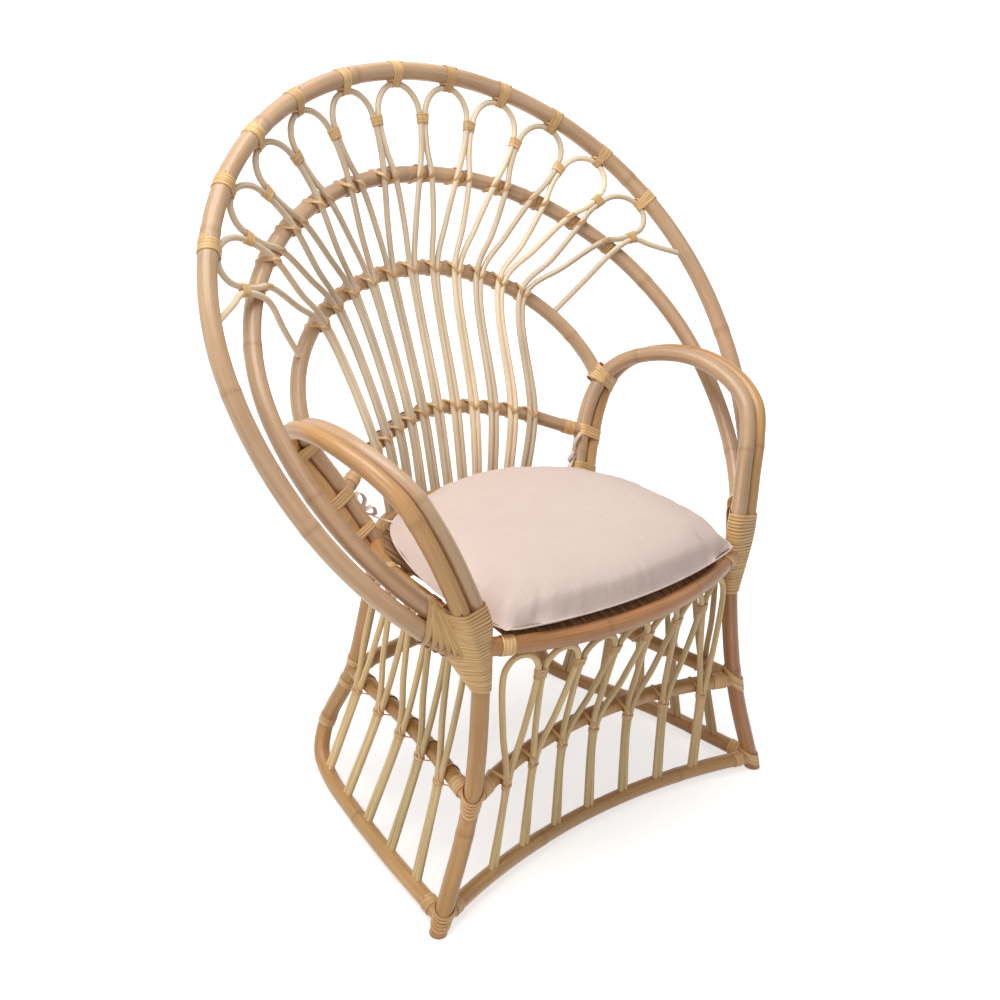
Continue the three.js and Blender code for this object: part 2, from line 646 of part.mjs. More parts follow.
// Skirts of the base
const frontSkirt = new LoopField(
  frontMidRail,
  (loop) => frontMidRail.fromMiddle(loop * FRONT_MID_PITCH),
  seatFrontRail,
  (loop) => seatFrontRail.fromMiddle(loop * FRONT_TOP_PITCH),
  SKIRT_ROD_DIAMETER,
);
const sideSkirt = new LoopField(
  sideMidRails.right,
  (loop) => sideMidRails.right.at(SIDE_MID_FIRST + loop * SIDE_MID_PITCH),
  seatRing,
  (loop) => seatRing.at(seatRing.length - SIDE_TOP_FIRST - loop * SIDE_TOP_PITCH),
  SKIRT_ROD_DIAMETER,
);
function skirtLoop(field, loop, archHeight, bottomPole, distance) {
  const heading = bottomPole.headingAt(distance);
  const tail = (side) => [
    bottomPole.at(distance).addScaledVector(heading, (side * field.spacing) / 2),
  ];
  return field.hairpin(loop, field.spacing, archHeight, tail);
}

// Seat deck: a mat of close rods, trimmed to the seat, on two cross bars
const deckTop = SEAT_HEIGHT + SLAT_TOP_RISE;
const barHeight = deckTop - SLAT_DIAMETER - SEAT_BAR_DIAMETER / 2 - CLEARANCE;
function seatBar(forward) {
  const reach = ringAt(-forward).x - seatRing.radius * BUTT_SHARE;
  const half = [point(0, -forward, barHeight), point(reach, -forward, barHeight)];
  return new Pole(mirroredBothEnds(half), SEAT_BAR_DIAMETER);
}
const seatBars = { front: seatBar(FRONT_BAR_FORWARD), rear: seatBar(REAR_BAR_FORWARD) };

// Outline of a pole seen from above, moved inwards to clear it.
function clearOf(pole, from, to, count) {
  const inset = pole.radius + CLEARANCE;
  return Array.from({ length: count + 1 }, (_, i) => {
    const distance = THREE.MathUtils.lerp(from, to, i / count);
    const heading = pole.headingAt(distance);
    const p = pole.at(distance);
    return new THREE.Vector2(p.x - heading.y * inset, p.y + heading.x * inset);
  });
}
function slatMat() {
  const front = clearOf(seatFrontRail, MAT_CORNER, seatFrontRail.length - MAT_CORNER, 2 * RAIL_HALF_SPANS);
  const around = clearOf(new Pole([...seatRing.stations].reverse(), SIDE_POLE_DIAMETER),
    MAT_CORNER, seatRing.length - MAT_CORNER, MAT_EDGE_SPANS);
  const plan = solidOf(new THREE.ExtrudeGeometry(new THREE.Shape([...front, ...around]),
    { depth: 2 * SLAT_DIAMETER, bevelEnabled: false }).translate(0, 0, deckTop - SLAT_DIAMETER * 3 / 2));
  const count = 2 * Math.ceil(SEAT_HALF_WIDTH / SLAT_PITCH) + 1;
  const left = (-count * SLAT_PITCH) / 2;
  const ridges = [new THREE.Vector2(left, 0)];
  for (let i = 0; i < count; i += 1) {
    const x = left + i * SLAT_PITCH;
    ridges.push(new THREE.Vector2(x + SLAT_PITCH - SLAT_DIAMETER, SLAT_DIAMETER / 2));
    ridges.push(new THREE.Vector2(x + SLAT_PITCH - (SLAT_DIAMETER * 3) / 4, SLAT_DIAMETER));
    ridges.push(new THREE.Vector2(x + SLAT_PITCH - SLAT_DIAMETER / 4, SLAT_DIAMETER));
    ridges.push(new THREE.Vector2(x + SLAT_PITCH, SLAT_DIAMETER / 2));
  }
  ridges.push(new THREE.Vector2(left + count * SLAT_PITCH, 0));
  const length = 2 * (SEAT_BACK + CORNER_FORWARD + SEAT_FRONT_BOW);
  const rods = new THREE.ExtrudeGeometry(new THREE.Shape(ridges), { depth: length, bevelEnabled: false });
  rods.rotateX(Math.PI / 2).translate(0, length / 2, deckTop - SLAT_DIAMETER);
  return solidOf(rods).intersect(plan);
}

// Cushion: crowned, thin at the seam, drawn in between its pointed front corners
function cushion() {
  const tip = point(CORNER_HALF_SPAN - CUSHION_CORNER_IN, -CORNER_FORWARD - CUSHION_CORNER_OUT, 0);
  const shoulder = point(SEAT_HALF_WIDTH - CUSHION_SHOULDER_IN, SEAT_BACK - CUSHION_SHOULDER_FORWARD, 0);
  const side = point(SEAT_HALF_WIDTH + CUSHION_SIDE_OUT, -SEAT_WIDEST_FORWARD - CUSHION_SIDE_FORWARD, 0);
  const rear = point(0, SEAT_BACK - CUSHION_BACK_GAP, 0);
  const frontEdge = new THREE.QuadraticBezierCurve3(
    point(-tip.x, tip.y, 0), point(0, tip.y - 2 * CUSHION_FRONT_BOW, 0), tip);
  const aroundBack = mirroredBothEnds([rear, shoulder, side, tip]).reverse();
  const rearEdge = new THREE.CatmullRomCurve3(aroundBack, false, 'centripetal');
  const outline = [
    ...frontEdge.getSpacedPoints(CUSHION_FRONT_STEPS).slice(0, -1),
    ...rearEdge.getSpacedPoints(CUSHION_REAR_STEPS).slice(0, -1),
  ];
  const centre = point(0, (rear.y + tip.y - CUSHION_FRONT_BOW) / 2, 0);
  const base = Math.max(deckTop, SEAT_HEIGHT + seatFrontRail.radius) + CLEARANCE;
  const seam = base + CUSHION_SEAM_RISE;
  const crown = CUSHION_THICKNESS - CUSHION_SEAM_RISE;
  const topHeight = (share) => seam + crown * (1 - share ** CUSHION_CROWN_FLATNESS) ** CUSHION_CROWN_SHOULDER;
  const lifted = (share) => Math.max(0, (share - CUSHION_BASE_SHARE) / (1 - CUSHION_BASE_SHARE));
  const bottomHeight = (share) => base + CUSHION_SEAM_RISE * lifted(share) ** CUSHION_BASE_CURVE;
  const rings = [
    ...CUSHION_RING_SHARES.map((share) => ({ share, height: topHeight(share) })),
    { share: 1, height: seam },
    ...[...CUSHION_RING_SHARES].reverse().map((share) => ({ share, height: bottomHeight(share) })),
  ];
  const count = outline.length;
  const positions = rings.flatMap(({ share, height }) => outline.flatMap((p) => [
    THREE.MathUtils.lerp(centre.x, p.x, share), THREE.MathUtils.lerp(centre.y, p.y, share), height]));
  positions.push(centre.x, centre.y, topHeight(0), centre.x, centre.y, base);
  const topPole = rings.length * count;
  const faces = [];
  for (let j = 0; j < count; j += 1) {
    const next = (j + 1) % count;
    faces.push(topPole, j, next);
    for (let r = 0; r + 1 < rings.length; r += 1) {
      const a = r * count;
      const b = a + count;
      faces.push(a + j, b + j, b + next, a + j, b + next, a + next);
    }
    const last = (rings.length - 1) * count;
    faces.push(topPole + 1, last + next, last + j);
  }
  const geometry = new THREE.BufferGeometry();
  geometry.setAttribute('position', new THREE.Float32BufferAttribute(positions, 3));
  geometry.setIndex(faces);
  return solidOf(geometry);
}

// A flat cane strip wound round one or more poles that lie side by side, in one unbroken run.
function winding(name, centresAt, headingAt, sideAt, radius, start, turns) {
  const stepAngle = (2 * Math.PI) / CANE_STEPS;
  const reach = (radius + WINDING_GAP) / Math.cos(stepAngle / 2) + CANE_THICKNESS / 2;
  const run = Array.from({ length: turns * CANE_STEPS + 1 }, (_, i) => {
    const distance = start + (CANE_PITCH * i) / CANE_STEPS;
    const heading = headingAt(distance);
    const side = sideAt(distance);
    const square = heading.clone().cross(side).normalize();
    const out = side.clone().multiplyScalar(Math.cos(i * stepAngle));
    out.addScaledVector(square, Math.sin(i * stepAngle));
    const centres = centresAt(distance);
    const centre = centres.reduce((best, c) => (c.dot(out) > best.dot(out) + CLEARANCE ? c : best));
    return { middle: centre.clone().addScaledVector(out, reach), out, heading };
  });
  let leastGap = Infinity;
  run.forEach((a, i) => run.slice(i + CANE_STEPS / 2).forEach((b) => {
    leastGap = Math.min(leastGap, a.middle.distanceTo(b.middle) - CANE_WIDTH);
  }));
  console.log(`${name}: least gap between turns ${leastGap.toFixed(2)} mm`);
  const positions = run.flatMap(({ middle, out, heading }) => [[1, 1], [1, -1], [-1, -1], [-1, 1]].flatMap(
    ([outwards, along]) => middle.clone()
      .addScaledVector(out, (outwards * CANE_THICKNESS) / 2)
      .addScaledVector(heading, (along * CANE_WIDTH) / 2).toArray()));
  const faces = [];
  for (let i = 0; i + 1 < run.length; i += 1) {
    for (let k = 0; k < 4; k += 1) {
      const a = 4 * i + k;
      const b = 4 * i + ((k + 1) % 4);
      faces.push(a, b + 4, a + 4, a, b, b + 4);
    }
  }
  const last = 4 * (run.length - 1);
  faces.push(0, 2, 1, 0, 3, 2, last, last + 1, last + 2, last, last + 2, last + 3);
  const geometry = new THREE.BufferGeometry();
  geometry.setAttribute('position', new THREE.Float32BufferAttribute(positions, 3));
  geometry.setIndex(faces);
  return solidOf(geometry);
}
const mirrorX = (solid) => solid.mirror([1, 0, 0]);

// One of a row of loops counted from the middle: those on the left mirror those on the right.
const loopSolid = (loop, make) => (loop < 0 ? mirrorX(make(-loop)) : make(loop));

// Assembly: fan back
const back = section();
add(back, 'outer_hoop', outerHoop.copedTo([legs.right, legs.left]), HONEY);
add(back, 'middle_hoop', middleHoop.copedTo([legs.right, legs.left, outerHoop]), HONEY);
const armPair = { right: armInner, left: new Pole(mirrored(armLine), ARM_DIAMETER) };
add(back, 'inner_hoop', innerHoop.copedTo([armPair.right, armPair.left]), HONEY);
add(back, 'back_rail', backRail.copedTo([armPair.right, armPair.left]), HONEY);
const fanCuts = [seatRing, backRail, innerHoop, middleHoop, outerHoop];
for (let i = 0; i < FAN_LOOPS; i += 1) {
  const loop = i - (FAN_LOOPS - 1) / 2;
  const solid = loopSolid(loop, (k) => fanLoop(k).copedTo(fanCuts));
  add(back, `fan_loop_${String(i + 1).padStart(2, '0')}`, solid, STRAW);
}
const endRod = fanEndRod();
const endRodCuts = [outerHoop, middleHoop, innerHoop];

// Assembly: arms, seat and base, the right side first and the left side mirrored
const arms = section();
const seat = section();
const base = section();
const bindings = section();
const sidePole = sidePoles.right.copedTo([legs.right, frontBottomRail, seatRing]);
const outerArmCuts = [legs.right, middleHoop, outerHoop, seatRing, sidePoles.right];
const pairs = {
  fan_end_rod: [back, new Pole(endRod, FAN_ROD_DIAMETER, ROD_SIDES).copedTo(endRodCuts), STRAW],
  arm_inner: [arms, armInner.copedTo([legs.right, middleHoop, seatRing, sidePoles.right]), HONEY],
  arm_outer: [arms, armOuter.copedTo(outerArmCuts), HONEY],
  front_leg: [base, legs.right.solid().subtract(underground), HONEY],
  side_pole: [base, sidePole.subtract(underground), HONEY],
  side_mid_rail: [base, sideMidRails.right.copedTo([legs.right, frontMidRail, sidePoles.right]), HONEY],
};
for (const [name, [group, solid, material]] of Object.entries(pairs)) {
  add(group, `${name}_right`, solid, material);
  add(group, `${name}_left`, mirrorX(solid), material);
}
add(seat, 'seat_front_rail', seatFrontRail.copedTo([legs.right, legs.left]), CHESTNUT);
const ringCuts = [legs.right, legs.left, seatFrontRail, outerHoop, middleHoop];
add(seat, 'seat_ring', seatRing.copedTo(ringCuts), HONEY);
add(seat, 'seat_bar_front', seatBars.front.copedTo([seatRing]), CHESTNUT);
add(seat, 'seat_bar_rear', seatBars.rear.copedTo([seatRing]), CHESTNUT);
add(seat, 'seat_slats', slatMat(), CHESTNUT);
add(seat, 'cushion', cushion(), BLUSH);
add(base, 'front_bottom_rail', frontBottomRail.copedTo([legs.right, legs.left]), HONEY);
add(base, 'front_mid_rail', frontMidRail.copedTo([legs.right, legs.left]), HONEY);
const rearMidCuts = [sidePoles.right, sidePoles.left, sideMidRails.right, sideMidRails.left];
add(base, 'rear_mid_rail', rearMidRail.copedTo(rearMidCuts), HONEY);
for (let i = 0; i < FRONT_LOOPS; i += 1) {
  const loop = i - (FRONT_LOOPS - 1) / 2;
  const solid = loopSolid(loop, (k) => {
    const distance = frontBottomRail.length / 2 + k * FRONT_BOTTOM_PITCH;
    return skirtLoop(frontSkirt, k, FRONT_ARCH_HEIGHT, frontBottomRail, distance).copedTo([frontBottomRail]);
  });
  add(base, `front_loop_${i + 1}`, solid, STRAW);
}
for (let i = 0; i < SIDE_LOOPS; i += 1) {
  const distance = SIDE_BOTTOM_FIRST + i * SIDE_BOTTOM_PITCH;
  const rod = skirtLoop(sideSkirt, i, SIDE_ARCH_HEIGHT, sidePoles.right, distance).copedTo([sidePoles.right]);
  add(base, `side_loop_right_${i + 1}`, rod, STRAW);
  add(base, `side_loop_left_${i + 1}`, mirrorX(rod), STRAW);
}

// Assembly: cane windings on the arm feet and under the seat corners
const besideArm = (d) => armOuter.nearestTo(armInner.at(d).addScaledVector(armSide(d), armSpacing));

// The lowest place on the arm feet that the middle hoop leaves free for a winding.
function aboveHoop() {
  const clear = middleHoop.radius + armOuter.radius + WINDING_GAP + CANE_THICKNESS + CLEARANCE;
  let low = 0;
  let high = armInner.reach[ARM_SPANS];
  for (let i = 0; i < HALVINGS; i += 1) {
    const distance = (low + high) / 2;
    if (middleHoop.distanceTo(besideArm(distance)) < clear) low = distance;
    else high = distance;
  }
  return high;
}
const armFeet = winding(
  'arm_foot_binding',
  (d) => [armInner.at(d), besideArm(d)],
  (d) => armInner.headingAt(d),
  armSide,
  armInner.radius,
  aboveHoop(),
  ARM_FOOT_TURNS,
);
const windingFoot = atHeight(legs.right, SEAT_HEIGHT - LEG_WINDING_DROP);
const aboveFoot = legs.right.stations.findIndex((p) => p.z > windingFoot.z);
const legStart = legs.right.reach[aboveFoot] - legs.right.stations[aboveFoot].distanceTo(windingFoot);
const legTops = winding(
  'leg_top_binding',
  (d) => [legs.right.at(d)],
  (d) => legs.right.headingAt(d),
  (d) => {
    const heading = legs.right.headingAt(d);
    return point(1, 0, 0).addScaledVector(heading, -heading.x).normalize();
  },
  legs.right.radius,
  legStart,
  LEG_WINDING_TURNS,
);
add(bindings, 'arm_foot_binding_right', armFeet, CANE);
add(bindings, 'arm_foot_binding_left', mirrorX(armFeet), CANE);
add(bindings, 'leg_top_binding_right', legTops, CANE);
add(bindings, 'leg_top_binding_left', mirrorX(legTops), CANE);

// The origin is on the floor under the middle of the chair
const extent = new THREE.Box3().setFromObject(chair);
chair.position.y = -(extent.min.y + extent.max.y) / 2;
chair.updateMatrixWorld(true);

export default chair;
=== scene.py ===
# Rattan peacock chair: smooth bent poles and rods, cane bindings and a sewn seat cushion, dressed over
# the chair's solids. Lines are drawn in millimetres in the solids' own frame and placed in metres.
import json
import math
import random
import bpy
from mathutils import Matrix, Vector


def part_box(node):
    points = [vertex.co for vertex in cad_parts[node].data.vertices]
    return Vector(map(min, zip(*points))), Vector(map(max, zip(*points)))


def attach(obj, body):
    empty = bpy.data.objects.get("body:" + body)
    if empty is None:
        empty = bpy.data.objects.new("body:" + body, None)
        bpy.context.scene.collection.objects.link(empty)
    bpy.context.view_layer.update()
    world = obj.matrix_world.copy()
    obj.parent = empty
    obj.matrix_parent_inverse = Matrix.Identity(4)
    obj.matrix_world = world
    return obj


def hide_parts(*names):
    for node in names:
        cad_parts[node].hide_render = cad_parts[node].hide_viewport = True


bl_info = {
    "name": "Rattan Peacock Chair",
    "version": (1, 0, 0),
    "blender": (4, 5, 0),
    "location": "View3D > Sidebar > Chair",
    "description": "Bends the poles and rods, lays the cane bindings and sews the cushion of a rattan chair",
    "category": "Object",
}

from functools import cached_property

import bpy
import numpy as np
from bpy.props import FloatProperty, FloatVectorProperty, IntProperty, PointerProperty
from mathutils import Matrix, Vector, noise

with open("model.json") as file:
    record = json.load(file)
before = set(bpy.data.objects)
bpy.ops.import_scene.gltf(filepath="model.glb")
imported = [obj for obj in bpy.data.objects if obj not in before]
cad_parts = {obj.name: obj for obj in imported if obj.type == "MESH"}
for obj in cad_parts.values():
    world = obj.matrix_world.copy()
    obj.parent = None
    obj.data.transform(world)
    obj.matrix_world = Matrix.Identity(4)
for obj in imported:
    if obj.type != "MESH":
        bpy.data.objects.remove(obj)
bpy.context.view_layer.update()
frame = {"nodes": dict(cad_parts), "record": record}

MM = 0.001
FRAME_BODY = "frame"
CUSHION_BODY = "seat_cushion"

# Diameters of the poles and rods
OUTER_HOOP_DIAMETER = 28.0
MIDDLE_HOOP_DIAMETER = 26.0
INNER_HOOP_DIAMETER = 24.0
BACK_RAIL_DIAMETER = 22.0
ARM_DIAMETER = 25.0
LEG_DIAMETER = 26.0
SIDE_POLE_DIAMETER = 25.0
RAIL_DIAMETER = 24.0
SEAT_RAIL_DIAMETER = 27.0
SEAT_BAR_DIAMETER = 18.0
ROD_DIAMETER = 9.5
CLEARANCE = 0.3
TIE_LIFT = 0.4
CROSSING_GAP = 0.8
BUTT_SHARE = 0.35

# Stations of the bent poles, and the spacing of the fine lines through them
LEG_STEPS = 3
SIDE_POLE_STEPS = 3
SIDE_RAIL_STEPS = 4
ARM_STEPS = 2
BACK_RAIL_STEPS = 3
SEAT_BACK_STATIONS = 7
BOW_STATIONS = 4
HOOP_STATIONS = 20
INNER_HOOP_STATIONS = 8
POST_STATIONS = 8
REAR_LEG_STATIONS = 9
ARCH_DEGREES = (30, 60)
ARCH_TRIES = 20
LINE_STEPS = 14
POLE_SPACING = 5.0
ROD_SPACING = 6.0
BAR_SPACING = 8.0
DECK_SPACING = 12.0
FINE_SPACING = 4.0

# Growth rings: distances along a pole, and shares of the rings' usual spacing
WANDER_LENGTH = 140.0
FIRST_RING = (0.3, 0.9)
NEXT_RING = (0.75, 1.3)
RING_END_MARGIN = 20.0
RING_MARK_LENGTH = 3.5
SWELL_LENGTH = 9.0
WAIST_PLACE = 13.0
WAIST_LENGTH = 8.0
WAIST_SHARE = 0.5
FIBRE_STARTS = 100.0

# Seat and base
SEAT_HEIGHT = 392.0
SEAT_BACK = 97.0
SEAT_HALF_WIDTH = 262.0
SEAT_WIDEST_FORWARD = 120.0
SEAT_BACK_SQUARENESS = 2.4
SEAT_SIDE_IN = 4.0
SEAT_FRONT_BOW = 56.0
CORNER_HALF_SPAN = 283.0
CORNER_FORWARD = 268.0
LEG_TOP_RISE = 38.0
LEG_NECK_DROP = 42.0
LEG_NECK_IN = 4.0
LEG_NECK_FORWARD = 14.0
FOOT_HALF_SPAN = 365.0
FOOT_FORWARD = 365.0
FOOT_EXTRA = 12.0
MID_RAIL_HEIGHT = 176.0
LEG_MID_HALF_SPAN = 300.0
LEG_MID_FORWARD = 325.0
BOTTOM_RAIL_HEIGHT = 20.0
FRONT_BOTTOM_BOW = 50.0
FRONT_MID_BOW = 56.0
SIDE_POLE_HALF_SPAN = 322.0
REAR_CORNER_HALF_SPAN = 262.0
REAR_CORNER_BACK = 28.0
REAR_LEG_HALF_SPAN = 235.0
REAR_LEG_KICK = 50.0
REAR_LEG_WAIST_BACK = 4.0
REAR_WAIST_SWAY = 12.0
REAR_BEND_OUT = 9.0
REAR_BEND_RISE = 42.0
SIDE_MID_HALF_SPAN = 257.0
REAR_RAIL_BOW = 22.0

# Hoops of the back
OUTER_CROWN = (362.0, 1004.0)
OUTER_HALF_WIDTH = 503.0
OUTER_CROWN_RISE = 458.0
OUTER_ROOT_DROP = 20.0
MIDDLE_CROWN = (316.0, 853.0)
MIDDLE_HALF_WIDTH = 440.0
MIDDLE_CROWN_RISE = 388.0
MIDDLE_ROOT_LIFT = 13.0
INNER_CROWN = (273.0, 712.0)
INNER_END_RISE = 150.0
BACK_RAIL_CROWN_BACK = 167.0
BACK_RAIL_RISE = 119.0
BACK_RAIL_QUARTER_RISE = 109.0
BACK_RAIL_QUARTER_SHARE = 0.32
BACK_RAIL_END_RISE = 75.0

# Arms: half span, distance back, height above the seat rail
ARM_POINTS = (
    (317.0, -232.0, 124.0),
    (358.0, -180.0, 207.0),
    (376.0, -97.0, 233.0),
    (372.0, -16.0, 229.0),
    (346.0, 62.0, 196.0),
    (318.0, 88.0, 156.0),
    (274.0, 72.0, 96.0),
)
ARM_END_FROM_CORNER = 300.0

# Fan of hairpin rods
FAN_LOOPS = 11
FAN_OUTER_PITCH = 110.0
FAN_MIDDLE_PITCH = 77.0
FAN_MIDDLE_OPENING = 52.0
FAN_INNER_PITCH = 46.5
FAN_RAIL_PITCH = 37.0
FAN_SEAT_PITCH = 30.0
FAN_ARCH_HEIGHT = 52.0
END_ROD_OUTER_PITCHES = 6.05
END_ROD_INNER_PITCHES = 6.5
END_ROD_HOOK_PITCHES = 0.25
END_ROD_HOOK_LEVEL = 0.16
END_ROD_MIDDLE_PITCHES = 0.16
LEG_BELLY = 3.0

# Skirts of the base
FRONT_LOOPS = 7
FRONT_TOP_PITCH = 73.0
FRONT_MID_PITCH = 77.0
FRONT_BOTTOM_PITCH = 78.0
FRONT_ARCH_HEIGHT = 36.0
SIDE_LOOPS = 5
SIDE_TOP_FIRST = 46.0
SIDE_TOP_PITCH = 46.0
SIDE_MID_FIRST = 60.0
SIDE_MID_PITCH = 60.0
SIDE_BOTTOM_FIRST = 68.0
SIDE_BOTTOM_PITCH = 74.0
SIDE_ARCH_HEIGHT = 30.0

# Seat deck and cushion
DECK_ROD_PITCH = 9.5
DECK_ROD_FIRST = -261.25
DECK_RODS = 57
DECK_TOP_RISE = 14.0
DECK_SWAY = 0.4
DECK_SWAY_STEP = 2.3
DECK_STAGGER = 1.6
DECK_END_IN = 4.0
DECK_FRONT_DIP = 5.0
DECK_FRONT_LEVEL = 26.0
DECK_BACK_DIP = 3.0
FRONT_BAR_FORWARD = 215.0
REAR_BAR_FORWARD = 60.0
CUSHION_SEAM_RISE = 24.0
CUSHION_FRONT_STEPS = 24
CUSHION_SIDE_STEPS = 16
CUSHION_EDGE_STEP = 5.0
CUSHION_EASING = 24
CUSHION_EDGE_FALL = 0.42
SEWN_SEAM_RISE = 13.0
CROWN_EXTRA = 8.0
CROWN_MARGIN = 1.0
CUSHION_TIP = (258.0, -290.0)
CUSHION_FRONT_BOW = 30.0
CUSHION_SIDE = (268.0, -150.0)
CUSHION_SHOULDER = (194.0, 22.0)
CUSHION_REAR = 62.0
SMOOTH_PASSES = 14
MERGE_REACH = 0.05
PANEL_SCALE = (0.975, 0.975, 0.8)
FILL_FRAMES = 20
CLOTH_STIFFNESS = 18.0
CLOTH_BENDING = 0.6
SECTORS = 90
RIM_PINCH = 0.85
UNDERSIDE_GATHER = -0.4
RIPPLE_HEIGHT = 2.2
RIPPLE_SCALE = 7.0
DECK_GAP = 0.2
SEAM_CORD_DIAMETER = 2.6
SEAM_CORD_SIDES = 8
SEAM_CORD_SPACING = 7.0
TIE_WIDTH = 7.0
TIE_THICKNESS = 1.4
TIE_PATH_STEPS = 7

# Windings of the front corners
WINDING_LOW = 332.0
WINDING_HIGH = 456.0
WINDING_CORE_UNDER = 80.0
WINDING_AXIS_REACH = 20.0
WINDING_PITCH = 0.96
WINDING_LIFT = 0.9
WINDING_STEPS = 28
HOOP_IN_WINDING = 40.0
HOOP_STRAPS = 6
STRAP_TOP_FIRST = 64.0
STRAP_TOP_PITCH = 4.2
STRAP_BOTTOM_FIRST = 40.0
STRAP_BOTTOM_PITCH = 10.6
STRAP_WIDTHS = 1.85
STRAP_LIFT = 2.2
STRAP_STACK = 0.35
STRAP_STEPS = 36
TURN_REACH = 60.0
NAIL_PLACES = (5.0, 30.0)
NAIL_FACING = (0.62, -0.66, 0.42)
NAIL_LIFT = 1.9
NAIL_SIDES = 12
NAIL_RADIUS = 1.5
NAIL_HEIGHT = 0.6
NAIL_INSET = 0.6
NAIL_DOME = 0.4

# Cane bindings: pitches and widths are shares of a strip's width, slants are in radians
CLOSE_PITCH = 0.92
SNUG_LIFT, EASY_LIFT, LOOSE_LIFT = 0.1, 0.2, 0.3
TONE_SPREAD = 0.3
STRIP_STARTS = 50.0
STRIP_EDGE_ANGLE = math.radians(50)
TURN_STEPS = 20
TIE_STEPS = 28
TIE_LEAST_SKEW = 0.5
CROWN_TURNS = 4.4
CROWN_PITCH = 0.86
CROSS_STEPS = 24
CROSS_HALF_LENGTH = 12.5
CROSS_HALF_DEPTH = 8.6
CROSS_WIDTH = 0.8
LASH_TURNS = 4.3
LASH_PITCH = 0.72
LASH_WIDTH = 0.82
MIDDLE_SLANT_LEFT, MIDDLE_SLANT_RIGHT = 2.19, 0.95
MIDDLE_TIE_WIDTH = 1.15
SLANT_LEFT, SLANT_RIGHT = 2.15, 0.99
HOOP_WRAP_TURNS = 1.6
HOOP_WRAP_START = 0.8
HOOP_WRAP_PITCH = 0.95
HOOP_WRAP_WIDTH = 0.9
PAIR_TIE_DROP = 9.0
PAIR_TIE_TURNS = 1.4
PAIR_TIE_PITCH = 0.7
HOOP_END_HELD = 8.0

# Bindings of the base's joints
FRONT_RAIL_FROM_LEG = 17.0
SIDE_RAIL_FROM_LEG = 15.0
LEG_LOOPS = 5
LEG_LOOP_RISE = 5.0
LEG_LOOP_PITCH = 0.85
LEG_LOOP_STEPS = 32
LEG_LOOP_LEVEL = 0.35
LEG_LOOP_LOWEST = 6.0
LEG_LOOP_LIFT = 0.4
LEG_LOOP_STACK = 0.25
REAR_BANDS = ((MID_RAIL_HEIGHT + 20, 2.3), (MID_RAIL_HEIGHT - 24, 2.3), (66.0, 3.2), (360.0, 3.2))
RAIL_END_MARGIN = 16.0
RAIL_END_TURNS = 3.2

# Bindings of the seat and the arms
BACK_RAIL_END_MARGIN = 14.0
BACK_RAIL_END_TURNS = 4.2
HOOP_BAND_RISE = 7.0
HOOP_BAND_TURNS = 5.3
RAIL_BAND_TURNS = 4.4
RING_BANDS = (116.0, 216.0)
RING_BAND_TURNS = 3.3
ARM_END_MARGIN = 34.0
ARM_END_TURNS = 3.4

# Floor, background and lamps: each lamp's name, place, target, size in metres and power in watts
FLOOR_SIZE = 30.0
FLOOR_DROP = 0.0005
GLOW_REACH = (0.5, 2.2)
GLOW_LEVELS = (0.62, 1.0)
AMBIENT = 0.26
SENSOR_WIDTH = 36.0
LAMPS = (
    ("overhead_light", (-0.7, 0.5, 3.2), (0, 0, 0.4), 2.2, 74.0),
    ("left_light", (-3.2, -0.3, 2.0), (0, 0, 0.5), 1.6, 22.0),
    ("front_light", (-1.4, -3.4, 1.6), (0, 0, 0.5), 2.0, 8.0),
)

# Weave of the cotton: pitch of its threads in metres, and the slubs' scales across and along them
THREAD_PITCH = 0.0011
SLUB_SCALES = ((30.0, 620.0), (620.0, 30.0))

# Places of the stations on a hairpin rod
FAN_RAIL, FAN_INNER, FAN_FOOT, FAN_SHOULDER, FAN_CROWN = 1, 2, 4, 6, 9
SKIRT_FOOT, SKIRT_SHOULDER = 1, 3


def srgb(red, green, blue):
    """A screen colour in 0 to 255 as the linear colour that Blender keeps."""
    def linear(value):
        share = value / 255.0
        return share / 12.92 if share <= 0.04045 else ((share + 0.055) / 1.055) ** 2.4
    return (linear(red), linear(green), linear(blue))


def colour_property(name, description, default):
    return FloatVectorProperty(
        name=name, description=description, default=default, size=3, min=0.0, max=1.0, subtype="COLOR")


